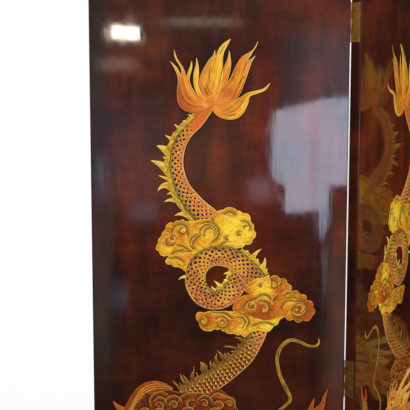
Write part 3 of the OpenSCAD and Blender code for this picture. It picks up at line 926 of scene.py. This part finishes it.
def shown(colour):
    """A colour for a shader, given with three numbers as on a screen or with four as it is."""
    return srgb(*colour) if len(colour) == 3 else colour


class Value:
    """What a node puts out, with the usual signs of arithmetic for numbers."""

    def __init__(self, graph, socket):
        self.graph = graph
        self.socket = socket

    def __add__(self, other):
        return self.graph.math("ADD", self, other)

    def __sub__(self, other):
        return self.graph.math("SUBTRACT", self, other)

    def __rsub__(self, other):
        return self.graph.math("SUBTRACT", other, self)

    def __mul__(self, other):
        return self.graph.math("MULTIPLY", self, other)

    def __truediv__(self, other):
        return self.graph.math("DIVIDE", self, other)

    def __mod__(self, other):
        return self.graph.math("MODULO", self, other)

    def __abs__(self):
        return self.graph.math("ABSOLUTE", self)


class Graph:
    """The node tree of a material or of the world, with one short call for each kind of node that it
    needs. It has a shader of its own only where constants for that are given."""

    def __init__(self, name, home="materials", output="ShaderNodeOutputMaterial", **constants):
        self.made = getattr(bpy.data, home).new(name)
        self.made.use_nodes = True
        self.tree = self.made.node_tree
        self.tree.nodes.clear()
        self.output = self.node(output)
        if constants:
            self.shader = self.node("ShaderNodeBsdfPrincipled")
            self.lit = Value(self, self.shader.outputs[0])
            self.surface(self.lit)
        for key, value in constants.items():
            self.shader.inputs[key.replace("_", " ").title().replace("Ior", "IOR")].default_value = value

    def node(self, kind, **settings):
        made = self.tree.nodes.new(kind)
        for key, value in settings.items():
            setattr(made, key, value)
        return made

    def feed(self, socket, value):
        if isinstance(value, Value):
            self.tree.links.new(value.socket, socket)
        else:
            socket.default_value = shown(value) if isinstance(value, tuple) else value

    def fed(self, made, values, out=0):
        """An output of a node whose inputs, by their number or name, get the values."""
        for key, value in values.items():
            self.feed(made.inputs[key], value)
        return Value(self, made.outputs[out])

    def math(self, operation, *values):
        return self.fed(self.node("ShaderNodeMath", operation=operation), dict(enumerate(values)))

    def larger(self, first, second):
        return self.math("MAXIMUM", first, second)

    def smaller(self, first, second):
        return self.math("MINIMUM", first, second)

    def fraction(self, value):
        return self.math("FRACT", value)

    def length(self, u, v):
        return self.math("SQRT", u * u + v * v)

    def mix(self, share, first, second):
        return self.fed(self.node("ShaderNodeMix", data_type="RGBA"), {0: share, 6: first, 7: second}, 2)

    def step(self, value, low, high, first=0.0, last=1.0):
        """first where value is at low, last where it is at high, with a soft way between."""
        made = self.node("ShaderNodeMapRange", interpolation_type="SMOOTHSTEP")
        return self.fed(made, dict(enumerate((value, low, high, first, last))))

    def vary(self, noise, first, last):
        """first where the noise is low, last where it is high."""
        return self.step(noise, 0.3, 0.7, first, last)

    def ramp(self, value, *stops):
        made = self.node("ShaderNodeValToRGB")
        while len(made.color_ramp.elements) < len(stops):
            made.color_ramp.elements.new(0.5)
        for element, (place, colour) in zip(made.color_ramp.elements, stops):
            element.position = place
            element.color = shown(colour)
        return self.fed(made, {0: value})

    def mapping(self, vector, scale=(1, 1, 1), turn=0.0, move=(0, 0, 0)):
        made = self.node("ShaderNodeMapping")
        for key, value in (("Location", move), ("Rotation", (0, 0, turn)), ("Scale", scale)):
            made.inputs[key].default_value = value
        return self.fed(made, {0: vector})

    def noise(self, vector, detail=3.0, roughness=0.55, scale=1.0):
        """Noise at a vector, which may be given as the numbers along its three axes."""
        if isinstance(vector, tuple):
            vector = self.fed(self.node("ShaderNodeCombineXYZ"), dict(enumerate(vector)))
        values = {"Vector": vector, "Scale": scale, "Detail": detail, "Roughness": roughness}
        return self.fed(self.node("ShaderNodeTexNoise"), values)

    def parts(self, vector):
        made = self.node("ShaderNodeSeparateXYZ")
        self.feed(made.inputs[0], vector)
        return [Value(self, socket) for socket in made.outputs]

    def attribute(self, name):
        return self.parts(self.fed(self.node("ShaderNodeAttribute", attribute_name=name), {}, "Vector"))

    def place(self, kind="Object"):
        return self.fed(self.node("ShaderNodeTexCoord"), {}, kind)

    def bump(self, height, depth):
        """Gives the surface the height, times a depth in mm."""
        made = self.fed(
            self.node("ShaderNodeBump"), {"Strength": 1.0, "Distance": depth * MM, "Height": height}
        )
        self.feed(self.shader.inputs["Normal"], made)

    def colour(self, value):
        self.feed(self.shader.inputs["Base Color"], value)

    def roughness(self, value, low=None, high=None):
        """Gives the surface a roughness, from low to high with the value if those are given."""
        if low is not None:
            value = self.vary(value, low, high)
        self.feed(self.shader.inputs["Roughness"], value)

    def emission(self, colour, strength=1.0, kind="ShaderNodeEmission"):
        return self.fed(self.node(kind), {0: colour, 1: strength})

    def clear(self):
        return self.fed(self.node("ShaderNodeBsdfTransparent"), {})

    def blend(self, share, first, second):
        return self.fed(self.node("ShaderNodeMixShader"), {0: share, 1: first, 2: second})

    def seen_by(self, *rays):
        """1 for rays of these kinds, and 0 for others."""
        light = self.node("ShaderNodeLightPath")
        seen = 0.0
        for ray in rays:
            seen = self.larger(seen, Value(self, light.outputs[f"Is {ray} Ray"]))
        return seen

    def surface(self, shader):
        self.feed(self.output.inputs[0], shader)


# Warm places in the lacquer, seen on the first leaf: x, z and both radii in metres, and strength
GLOWS = (
    (0.050, 1.340, 0.045, 0.060, 0.55), (0.247, 1.345, 0.040, 0.070, 0.75),
    (0.347, 1.496, 0.030, 0.060, 0.5),
    (0.430, 1.486, 0.030, 0.050, 0.35), (0.354, 1.150, 0.055, 0.080, 0.5),
    (0.110, 1.110, 0.060, 0.090, 0.35),
    (0.236, 1.110, 0.040, 0.050, 0.5), (0.440, 0.560, 0.060, 0.110, 0.5), (0.120, 0.480, 0.060, 0.120, 0.45),
    (0.280, 0.260, 0.080, 0.090, 0.4), (0.190, 1.340, 0.070, 0.090, 0.35), (0.270, 1.400, 0.070, 0.050, 0.3),
    (0.150, 1.170, 0.060, 0.050, 0.3), (0.210, 1.620, 0.060, 0.030, 0.3), (0.290, 1.590, 0.080, 0.045, 0.5),
    (0.250, 1.115, 0.050, 0.045, 0.85), (0.150, 1.110, 0.050, 0.040, 0.35),
    (0.200, 1.240, 0.230, 0.180, 0.5),
)


def lacquer(name, leaf, painted):
    """Polished brown lacquer, rubbed through in long soft streaks. Leaves 1 and 2 share one clouding,
    mirrored, and so do leaves 3 and 4.
    """
    g = Graph(name, ior=1.5)
    corner, right, out = leaf_frame(leaf)
    where = g.mapping(g.place(), turn=-leaf_angle(leaf), move=(-corner.dot(right), corner.dot(out), 0.0))
    if leaf % 2 == 0:
        where = g.mapping(where, scale=(-1, 1, 1), move=(LEAF_W * MM, 0, 0))
    x, _, z = g.parts(where)
    offset = leaf // 3 * 3.7
    moved = g.mapping(where, move=(offset, 0, offset))
    upright = g.noise(g.mapping(moved, scale=(17, 3, 4.2)), 4.0, 0.6)
    level = g.noise(g.mapping(moved, scale=(5.5, 3, 13)))
    broad = g.noise(g.mapping(moved, scale=(3.1, 2, 2.3), move=(4.1, 0, 1.7)), 2.0, 0.5)
    fine = g.noise(g.mapping(moved, scale=(70, 20, 26)), 3.0, 0.6)
    threads = g.noise(g.mapping(moved, scale=(11, 4, 92)), 2.0, 0.6)
    mottle = broad * 0.34
    for part, share in ((upright, 0.42), (level, 0.34), (fine, 0.08), (threads, 0.1)):
        mottle += part * share
    mottle -= 0.065
    tint = g.ramp(
        mottle, (0.36, (16, 8, 7)), (0.48, (34, 15, 11)), (0.58, (60, 23, 14)), (0.72, (102, 43, 17)),
    )
    purple = g.noise(g.mapping(moved, scale=(9, 3, 12), move=(7.3, 0, 2.9)), 2.0, 0.5)
    tint = g.mix(g.step(purple, 0.52, 0.7, 0.0, 0.4), tint, (50, 20, 28))
    if not painted:
        tint = g.mix(0.35, tint, (28, 12, 9))
    else:
        warm = 0.0
        for cx, cz, rx, rz, strength in GLOWS:
            away = g.length((x - cx) / rx, (z - cz) / rz)
            warm = g.larger(warm, g.step(away, 1.3, 0.0, 0.0, strength))
        warm = warm * g.step(upright, 0.3, 0.65, 0.35, 1.0)
        warm = warm * g.step(level, 0.35, 0.6, 0.55, 1.0)
        warm = warm * g.step(threads, 0.3, 0.6, 0.7, 1.0)
        tint = g.mix(warm, tint, (114, 40, 7))
        wine = g.step(abs(x - 0.338), 0.022, 0.0, 0.0, 0.45)
        tint = g.mix(wine, tint, (84, 16, 14))
        # painted shade: the lacquer is darkened below the loop, as the light falls off downwards
        low = g.step(z, 1.14, 0.92, 0.0, 0.6)
        tint = g.mix(low, tint, (22, 9, 7))
        # painted shade too: darker towards the leaf's left edge and towards its top, where the light falls
        # off
        for value, near, far, share in ((x, 0.0, 0.075, 0.65), (z, 1.6, 1.5, 0.3)):
            tint = g.mix(g.step(value, far, near, 0.0, share), tint, (15, 11, 10))
    g.colour(tint)
    g.roughness(fine, 0.035, 0.075)
    wave = g.noise(g.mapping(moved, scale=(34, 10, 7), move=(0.3, 0, 0)), 2.0, 0.5)
    hairs = g.noise(g.mapping(moved, scale=(240, 60, 14)), 2.0, 0.5)
    g.bump(hairs * 0.12 + wave, 0.1)
    return g.made


def rim_light(g, tint, edge, colour, width, share):
    """The pale line with which the painter edged each figure, and the dark sides below it."""
    tint = g.mix(g.step(edge, width, width * 0.35, 0.0, share), tint, colour)
    return g.mix(g.step(edge, -0.1, -0.9), tint, (30, 12, 7))


def gold_paint(name):
    return Graph(name, ior=1.45, metallic=0.15, specular_ior_level=0.3)


def flame_material():
    g = gold_paint("gilded_flame")
    along, across, edge = g.attribute("strip")
    tone, t, seed = g.attribute("paint")
    width = abs(across) + (edge + 0.4)
    q = across / width
    hairs = g.noise((q * 4.0, along * 0.02, seed * 9.0), 2.0, 0.5)
    glow = g.noise((q * 0.8, along * 0.022, seed), 2.0, 0.5)
    value = tone + g.vary(hairs, -0.18, 0.18) + g.step(glow, 0.35, 0.65, -0.1, 0.26)
    ground = g.ramp(
        value, (0.0, (170, 60, 12)), (0.3, (206, 98, 27)), (0.6, (222, 140, 32)), (0.9, (238, 184, 44))
    )
    tip = g.step(t, 0.5, 0.95)
    ground = g.mix(tip * 0.55, ground, (240, 196, 92))
    root = g.step(t, 0.32, 0.04, 0.0, 0.8)
    ground = g.mix(root, ground, (224, 134, 48))
    shady = g.step(q + hairs * 0.8, 0.7, 1.2, 0.0, 0.45)
    ground = g.mix(shady, ground, (176, 80, 22))
    broken = g.noise((q * 2.6, along * 0.06, seed), 2.0)
    for often, wander, width, share, ink in (
        (1.3, 2.6, 0.09, 0.78, (122, 50, 14)), (3.1, 1.5, 0.12, 0.5, (172, 80, 22))
    ):
        run = g.fraction(q * often + hairs * wander)
        lines = g.step(abs(run - 0.5), width, 0.02, 0.0, share)
        lines = lines * (g.step(broken, 0.4, 0.52) * g.step(t, 0.06, 0.2))
        ground = g.mix(lines, ground, ink)
    edged = rim_light(g, ground, edge, (246, 196, 110), 1.2, 0.75)
    g.colour(g.mix(g.step(t, 0.12, 0.34), ground, edged))
    g.roughness(hairs, 0.34, 0.5)
    g.bump(hairs, 0.25)
    return g.made


def body_material():
    """Ring bands near the tuft, then rows of dark dots in a pale net, then overlapping scales."""
    g = gold_paint("gilded_body")
    along, across, edge = g.attribute("strip")
    kind, side, seed = g.attribute("paint")
    half = abs(across) + edge
    back = across / g.larger(half, 1.0) * side
    cloud = g.noise((along * 0.06, across * 0.09, seed), 3.0, 0.6)
    ground = g.ramp(
        back * 0.42 + (cloud * 0.5 + 0.25), (0.1, (216, 112, 52)), (0.35, (198, 88, 22)),
        (0.6, (190, 108, 22)), (0.8, (148, 106, 26)), (0.96, (88, 80, 24))
    )

    warp = g.noise((along * 0.11, across * 0.11, 3.0), 1.0)
    sway = g.noise((along * 0.13, across * 0.12, 8.0), 1.0)
    long_way = warp * WARP + along
    wide_way = sway * WARP + across

    def lattice(shift):
        """Distance in mm from the nearest of a square net of points."""
        u = g.fraction(long_way / DOT_PITCH + shift) - 0.5
        v = g.fraction(wide_way / DOT_PITCH + shift) - 0.5
        return g.length(u * DOT_PITCH, v * DOT_PITCH)

    near = g.smaller(lattice(0.0), lattice(0.5))
    speckle = g.noise((along * 0.42, across * 0.5, 5.0), 2.0, 0.6)
    dotted = g.mix(g.step(speckle, 0.52, 0.62, 0.0, 0.85), ground, (246, 196, 92))
    dotted = g.mix(g.step(speckle, 0.48, 0.36, 0.0, 0.85), dotted, (122, 46, 14))
    broad = g.noise((along * 0.02, across * 0.035, seed), 2.0)
    dotted = g.mix(g.step(seed, 0.2, 0.3, 0.0, 0.6), dotted, (152, 66, 14))
    golden = g.step(broad, 0.52, 0.62, 0.0, 0.6) * g.step(seed, 0.2, 0.3, 0.35, 1.0)
    dotted = g.mix(golden, dotted, (232, 164, 40))
    flecks = g.noise((along * 0.28, across * 0.34, 9.0), 2.0, 0.6)
    dotted = g.mix(g.step(flecks, 0.56, 0.63, 0.0, 0.85), dotted, (255, 178, 104))
    ringed = g.step(near, 1.8, 2.7) * g.step(near, 4.0, 3.0, 0.0, 0.25)
    dotted = g.mix(ringed, dotted, (236, 188, 92))
    grown = near + g.step(back, -0.5, 0.8, 0.35, -0.45)
    dots = g.step(grown, 2.9, 1.9) * g.step(back, -0.85, -0.55)
    plates = abs(g.fraction(along / PLATE_PITCH) - 0.5)
    plates = g.step(plates, 0.2, 0.06, 0.0, 0.75) * g.step(back, -0.5, -0.72)
    dotted = g.mix(plates, dotted, (136, 48, 18))
    dotted = g.mix(dots, dotted, (34, 12, 6))

    rings = abs(g.fraction(along / BAND_PITCH) - 0.5)
    banded = g.mix(0.7, ground, (222, 110, 36))
    banded = g.mix(g.step(rings, 0.16, 0.05, 0.0, 0.6), banded, (140, 62, 20))

    row = long_way / SCALE_ALONG
    shift = g.math("FLOOR", row) % 2.0 * 0.5
    u = g.fraction(row) * SCALE_ALONG
    v = (g.fraction(wide_way / SCALE_ACROSS + shift) - 0.5) * SCALE_ACROSS
    reach = g.length(u, v)
    scaled = g.ramp(
        reach / SCALE_REACH, (0.0, (74, 30, 4)), (0.4, (152, 78, 10)), (0.6, (196, 108, 16)),
        (0.66, (40, 16, 4)), (0.95, (102, 46, 6)),
    )
    shine = g.step(reach, 2.2, 4.4) * g.step(reach, 6.2, 5.0)
    shine = shine * g.step(abs(v), 3.8, 1.2, 0.0, 0.9)
    shine = shine * g.step(speckle, 0.34, 0.56)
    scaled = g.mix(shine, scaled, (255, 206, 100))

    tint = g.mix(g.step(kind, 0.2, 0.8), banded, dotted)
    tint = g.mix(g.step(kind, 1.3, 1.9), tint, scaled)
    olive = g.step(back, 0.4, 0.95, 0.0, 0.6) * g.step(kind, 0.3, 1.0)
    tint = g.mix(olive, tint, (122, 108, 40))
    edging = g.mix(g.step(back, -0.2, 0.5), (244, 184, 104), (122, 98, 36))
    tint = rim_light(g, tint, edge + g.step(back, -0.6, 0.6, -0.7, 0.0), edging, 1.6, 0.85)
    g.colour(tint)
    g.roughness(cloud, 0.36, 0.5)
    g.bump(near, 0.12)
    return g.made


def fin_material():
    g = gold_paint("gilded_fin")
    along, across, edge = g.attribute("strip")
    tone, t, seed = g.attribute("paint")
    hairs = g.noise((across * 0.55, along * 0.08, seed), 2.0, 0.5)
    ground = g.ramp(
        tone + g.vary(hairs, -0.3, 0.3), (0.0, (98, 52, 10)), (0.3, (156, 98, 20)),
        (0.65, (214, 166, 40)), (1.0, (240, 200, 66))
    )
    hatch = g.noise((across * 0.12, along * 0.34, seed), 2.0, 0.5)
    hatch = g.step(hatch, 0.5, 0.66, 0.0, 0.7) * g.step(t, 0.55, 0.1)
    ground = g.mix(hatch, ground, (126, 104, 28))
    tipped = g.step(t, 0.25, 0.9, 0.0, 0.6) * g.step(tone, -0.3, 0.6, 0.2, 1.0)
    ground = g.mix(tipped, ground, (248, 210, 112))
    edging = g.mix(g.step(tone, 0.0, 0.5), (200, 134, 56), (242, 200, 104))
    g.colour(rim_light(g, ground, edge, edging, 1.1, 0.6))
    g.roughness(hairs, 0.36, 0.5)
    g.bump(hairs, 0.2)
    return g.made


def cloud_material(name, hollow, pale, *stops):
    """Brushed gold, from brown through gold to yellow by its tone, with the hollow colour in the shade of
    its curls and here and there, and the pale one in their light and along its edge."""
    g = gold_paint(name)
    along, across, edge = g.attribute("strip")
    tone, depth, seed = g.attribute("paint")
    flat = (along * 0.05, across * 0.08, seed)
    swirl = g.noise(flat, 4.0, 0.62)
    brushed = g.noise((along * 0.16, across * 0.5, seed), 3.0, 0.6)
    value = tone + g.vary(swirl, -0.17, 0.17)
    value = value + g.vary(brushed, -0.15, 0.15)
    grain = g.noise((along * 0.45, across * 0.45, seed), 2.0, 0.6)
    value = value + g.vary(grain, -0.14, 0.14)
    ground = g.ramp(value, *stops)
    olive = g.step(g.noise(flat, 3.0, 0.6, scale=2.3), 0.5, 0.72, 0.0, 0.4)
    ground = g.mix(olive, ground, hollow)
    ground = g.mix(g.step(depth, -0.16, -0.8, 0.0, 0.85), ground, hollow)
    ground = g.mix(g.step(depth, 0.2, 0.85, 0.0, 0.5), ground, pale)
    away = edge + g.vary(brushed, -1.2, 1.2)
    inner = g.step(away, 2.4, 3.6) * g.step(away, 7.0, 4.0, 0.0, 0.28)
    ground = g.mix(inner, ground, hollow)
    edging = g.mix(g.step(value, 0.05, 0.55), (190, 120, 46), pale)
    g.colour(rim_light(g, ground, edge, edging, 1.7, 0.6))
    g.roughness(brushed, 0.34, 0.52)
    g.bump(brushed, 0.28)
    return g.made


def line_material():
    g = gold_paint("engraved_line")
    tone = g.attribute("paint")[0]
    grain = g.noise(g.place(), 2.0, scale=220.0)
    dark = g.mix(grain, (74, 52, 10), (116, 84, 20))
    pale = g.mix(grain, (236, 184, 56), (250, 214, 108))
    g.colour(g.mix(g.step(tone, 0.15, 0.85), dark, pale))
    g.roughness(grain, 0.36, 0.5)
    return g.made


def shade_material():
    g = Graph("dark_edge", ior=1.4, specular_ior_level=0.2)
    grain = g.noise(g.place(), 2.0, scale=60.0)
    g.colour(g.mix(grain, (18, 7, 5), (34, 14, 9)))
    g.roughness(grain, 0.25, 0.35)
    return g.made


def brass_material():
    g = Graph("satin_brass", metallic=1.0)
    where = g.place()
    age = g.noise(where, 5.0, 0.65, scale=90.0)
    brushed = g.noise(g.mapping(where, scale=(1400, 1400, 60)), 2.0)
    tint = g.ramp(age, (0.3, (156, 116, 56)), (0.5, (214, 172, 96)), (0.7, (236, 202, 124)))
    g.colour(tint)
    g.roughness(brushed * 0.14 + g.vary(age, 0.38, 0.24))
    g.bump(brushed, 0.02)
    return g.made


def wood_material():
    g = Graph("core_wood", ior=1.45)
    where = g.place()
    rings = g.noise(g.mapping(where, scale=(26, 26, 3)), 6.0, 0.6)
    g.colour(g.ramp(rings, (0.35, (170, 128, 84)), (0.5, (200, 160, 112)), (0.65, (216, 182, 136))))
    g.roughness(rings, 0.55, 0.75)
    g.bump(rings, 0.4)
    return g.made


def glide_material():
    g = Graph("glide_nylon", ior=1.5)
    grain = g.noise(g.place(), 2.0, scale=900.0)
    g.colour(g.mix(grain, (44, 36, 30), (60, 50, 42)))
    g.roughness(grain, 0.45, 0.6)
    g.bump(grain, 0.05)
    return g.made


def repaint(node, material):
    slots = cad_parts[node].material_slots
    if not slots:
        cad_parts[node].data.materials.append(material)
    for slot in slots:
        slot.material = material


def finish_cad_nodes():
    brass, wood, glide = brass_material(), wood_material(), glide_material()
    plain = {leaf: lacquer(f"plain_lacquer_{leaf}", leaf, False) for leaf in LEAVES}
    front = {leaf: lacquer(f"painted_lacquer_{leaf}", leaf, True) for leaf in LEAVES}
    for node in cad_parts:
        leaf = int(node[5]) if node.startswith("leaf_") else None
        if node.endswith("front_face_board"):
            repaint(node, front[leaf])
        elif node.endswith("core_boards"):
            repaint(node, wood)
        elif node.endswith("glides"):
            repaint(node, glide)
        elif node.startswith("fold_") or node.endswith("screws"):
            repaint(node, brass)
        else:
            repaint(node, plain[leaf])


def paint_leaves():
    gold_stops = (
        (0.0, (160, 66, 2)), (0.25, (194, 96, 8)), (0.5, (218, 142, 22)), (0.75, (234, 180, 34)),
        (1.0, (246, 208, 56)),
    )
    head_stops = (
        (0.0, (170, 82, 22)), (0.35, (214, 128, 36)), (0.7, (234, 170, 58)), (1.0, (246, 208, 100)),
    )
    mane_stops = (
        (0.0, (74, 28, 3)), (0.35, (132, 54, 2)), (0.7, (180, 78, 4)), (1.0, (212, 106, 14)),
    )
    materials = {
        "flame": flame_material(), "body": body_material(), "fin": fin_material(), "line": line_material(),
        "cloud": cloud_material("gilded_cloud", (120, 82, 2), (250, 198, 76), *gold_stops),
        "mane": cloud_material("gilded_mane", (60, 26, 4), (176, 90, 12), *mane_stops),
        "head": cloud_material("gilded_head", (124, 66, 20), (250, 214, 120), *head_stops),
        "shade": shade_material(),
    }
    names = {
        "flame": "flames", "body": "dragon_body", "fin": "dragon_crest", "line": "fine_lines",
        "cloud": "clouds", "shade": "dark_edges", "mane": "mane_and_waves", "head": "dragon_head",
    }
    layers = {key: Layer() for key in names}
    for paint in (
        paint_tuft, paint_loop, paint_clouds, paint_mane, paint_whisker, paint_head, paint_forebody,
        paint_pearl, paint_low_clouds, paint_sea,
    ):
        paint(layers)
    for leaf in LEAVES:
        for key, layer in layers.items():
            layer.build(f"leaf_{leaf}_{names[key]}", leaf, materials[key], "painted_lacquer")


# Camera, floor and light

CAMERA_LEAF = 1
CAMERA_X, CAMERA_OUT, CAMERA_Z = 222.2, 1876.5, 1493.4  # mm, in the first leaf's frame
CAMERA_DOWN = 7.0  # degrees below the horizon
CAMERA_LENS, CAMERA_SENSOR = 85, 36  # focal length, and width of the picture behind the lens, in mm
FLOOR_HALF = 30.0  # half the width of the floor in metres
FADE_FROM, FADE_TO = 1.6, 4.2  # metres from the middle between which the floor turns white
WORLD_LEVEL = 0.55  # brightness of the white world where it lights the screen


def add_camera():
    corner, right, out = leaf_frame(CAMERA_LEAF)
    data = bpy.data.cameras.new("camera")
    data.lens = CAMERA_LENS
    data.sensor_width = CAMERA_SENSOR
    data.clip_end = 100
    camera = add_object("camera", data)
    camera.location = corner + right * CAMERA_X * MM + out * CAMERA_OUT * MM + Vector((0, 0, CAMERA_Z * MM))
    down = radians(CAMERA_DOWN)
    camera.rotation_mode = "QUATERNION"
    camera.rotation_quaternion = (-out * cos(down) - Vector((0, 0, sin(down)))).to_track_quat("-Z", "Y")
    bpy.context.scene.camera = camera


def stage_mesh(name, places, faces, material):
    mesh = bpy.data.meshes.new(name)
    mesh.from_pydata(places, [], faces)
    mesh.materials.append(material)
    made = add_object(name, mesh)
    return made


def only_mirrored(made):
    """A card that shows only in reflections."""
    for ray in ("camera", "diffuse", "shadow", "transmission", "volume_scatter"):
        setattr(made, f"visible_{ray}", False)


def card_material(name, colour, strength, soft, streaks):
    """A shining card that fades out over soft, a share of its size, with upright streaks of that depth."""
    g = Graph(name)
    x, _, z = g.parts(g.place("Generated"))
    hairs = g.noise((x * 38.0, 0.0, z * 2.5), 3.0, 0.6)
    shine = g.emission(colour, g.vary(hairs, strength * (1 - streaks), strength))
    inside = g.step(g.smaller(x, 1.0 - x), 0.0, soft) * g.step(g.smaller(z, 1.0 - z), 0.0, soft)
    g.surface(g.blend(inside, g.clear(), shine))
    return g.made


def card(name, outline, away, colour, strength, soft=0.02, streaks=0.0):
    """A studio card seen by the camera as a reflection in the first leaf, at the outline in the leaf's mm.
    It stands away mm in front of the leaf."""
    corner, right, out = leaf_frame(CAMERA_LEAF)
    places = []
    for x, z in outline:
        share = away / CAMERA_OUT
        cx, cz = x + (x - CAMERA_X) * share, z + (z - CAMERA_Z) * share
        places.append(corner + right * cx * MM + out * away * MM + Vector((0, 0, cz * MM)))
    material = card_material(name, colour, strength, soft, streaks)
    made = stage_mesh(name, places, [tuple(range(len(places)))], material)
    only_mirrored(made)


def box(left, low, right, high):
    return [(left, high), (right, high), (right, low), (left, low)]


def add_cards():
    warm, plain = (255, 236, 214), (255, 232, 222)
    cool, pink = (208, 222, 246), (228, 220, 250)
    card("lamp_card", [(40, 1608), (97, 1605), (97, 1581), (41, 1584)], 1500, warm, 50.0, 0.04)
    card("lamp_end_card", box(30, 1588, 34, 1605), 1500, warm, 14.0, 0.1)
    card("upper_band_card", [(119, 1626), (310, 1623), (312, 1604), (118, 1607)], 1500, warm, 2.6, 0.3)
    band = [(0, 1552), (75, 1550), (100, 1542), (104, 1522), (0, 1518)]
    card("left_band_card", band, 1500, warm, 2.2, 0.3)
    window = [
        (357, 1446), (400, 1456), (454, 1469), (520, 1474), (520, 1302), (462, 1302), (460, 1215),
        (451, 1190), (447, 1250), (434, 1253), (383, 1247), (375, 1256), (379, 1298), (357, 1311),
        (350, 1350), (350, 1400),
    ]
    card("window_card", window, 1500, cool, 10.8, 0.015, 0.25)
    card("window_bar_card", box(423, 1252, 446, 1466), 1490, pink, 7.2, 0.25)
    card("left_streak_card", box(4, 1262, 40, 1384), 1500, cool, 2.2, 0.45)
    card("middle_streak_card", box(66, 1222, 140, 1284), 1500, cool, 1.6, 0.45)
    card("low_streak_card", box(24, 1036, 80, 1128), 1500, cool, 1.1, 0.45)
    card("faint_card", box(290, 1256, 372, 1330), 1500, pink, 2.2, 0.45)
    card("left_wall_card", box(-60, 1180, 200, 1530), 1510, cool, 0.75, 0.4)
    card("middle_haze_card", box(60, 1210, 370, 1500), 1508, (255, 216, 186), 0.9, 0.45, 0.3)
    card("left_edge_card", box(-40, 800, 50, 1760), 1512, plain, 0.7, 0.3)
    card("right_edge_card", box(440, 780, 570, 1290), 1512, (255, 214, 190), 1.25, 0.35, 0.4)
    card("right_streak_card", box(450, 1060, 466, 1215), 1505, cool, 2.2, 0.4)
    card("right_wall_card", box(340, 1420, 640, 1640), 1510, cool, 1.3, 0.35)


def glossy_screen(name, places, faces, levels, clear_to=0.0, full_from=0.0):
    """A warm grey card whose brightness, seen in reflections only, rises with height through (z, level)
    pairs. It may fade in with the distance in metres from the middle."""
    g = Graph(name)
    x, y, z = g.parts(g.place())
    low, high = levels[0][0], levels[-1][0]
    stops = [((top - low) / (high - low), (level, level * 0.9, level * 0.84, 1.0)) for top, level in levels]
    shine = g.emission(g.ramp((z - low) / (high - low), *stops))
    if full_from:
        shine = g.blend(g.step(g.length(x, y), clear_to, full_from), g.clear(), shine)
    g.surface(shine)
    only_mirrored(stage_mesh(name, places, faces, g.made))


def add_flags():
    """Cards all round and over the far floor, so that the polished lacquer stays deep."""
    radius, height, inner, low = 3.6, 4.6, 0.2, 0.01
    sides = 48
    turns = [2 * pi * k / sides for k in range(sides)]
    walls = [(k, (k + 1) % sides, sides + (k + 1) % sides, sides + k) for k in range(sides)]
    ring = [(radius * cos(a), radius * sin(a), z) for z in (low, height) for a in turns]
    levels = ((0.0, 0.07), (1.2, 0.16), (2.0, 0.34), (3.0, 0.5), (height, 0.7))
    glossy_screen("ring_flag", ring, walls, levels)
    plate = [(r * cos(a), r * sin(a), low) for r in (inner, radius) for a in turns]
    glossy_screen("floor_flag", plate, walls, ((0.0, 0.07), (1.0, 0.07)), inner, 1.7)


def add_floor():
    """A large pale floor that keeps the screen's shadow near it and fades to white far off."""
    g = Graph("floor_paint", ior=1.45, roughness=0.7, specular_ior_level=0.2)
    where = g.place()
    x, y, _ = g.parts(where)
    g.colour(g.mix(g.noise(where, scale=40.0), (228, 228, 226), (236, 236, 234)))
    far = g.step(g.length(x, y), FADE_FROM, FADE_TO) * g.seen_by("Camera", "Glossy")
    g.surface(g.blend(far, g.lit, g.emission((255, 255, 255))))
    corners = [(FLOOR_HALF * x, FLOOR_HALF * y, 0) for x, y in ((-1, -1), (1, -1), (1, 1), (-1, 1))]
    stage_mesh("floor", corners, [(0, 1, 2, 3)], g.made)


def add_world():
    g = Graph("studio", "worlds", "ShaderNodeOutputWorld")
    level = g.seen_by("Camera", "Glossy", "Transmission") * (1 - WORLD_LEVEL) + WORLD_LEVEL
    g.surface(g.emission((255, 255, 255), level, "ShaderNodeBackground"))
    bpy.context.scene.world = g.made


def add_lamp(name, place, target, size, power):
    data = bpy.data.lights.new(name, "AREA")
    data.shape = "DISK"
    data.size = size
    data.energy = power
    lamp = add_object(name, data)
    lamp.location = place
    lamp.rotation_mode = "QUATERNION"
    lamp.rotation_quaternion = (Vector(target) - Vector(place)).to_track_quat("-Z", "Y")
    lamp.visible_glossy = False


def add_light():
    middle = (0, 0, 1.0)
    add_lamp("key_light", (-3.0, -3.6, 3.4), middle, 1.6, 120)
    add_lamp("fill_light", (3.4, -3.2, 2.4), middle, 2.0, 60)
    add_lamp("back_light", (0.5, 3.8, 3.0), middle, 2.0, 90)


bpy.context.scene.view_settings.view_transform = "Standard"
add_camera()
finish_cad_nodes()
paint_leaves()
add_floor()
add_world()
add_light()
add_cards()
add_flags()
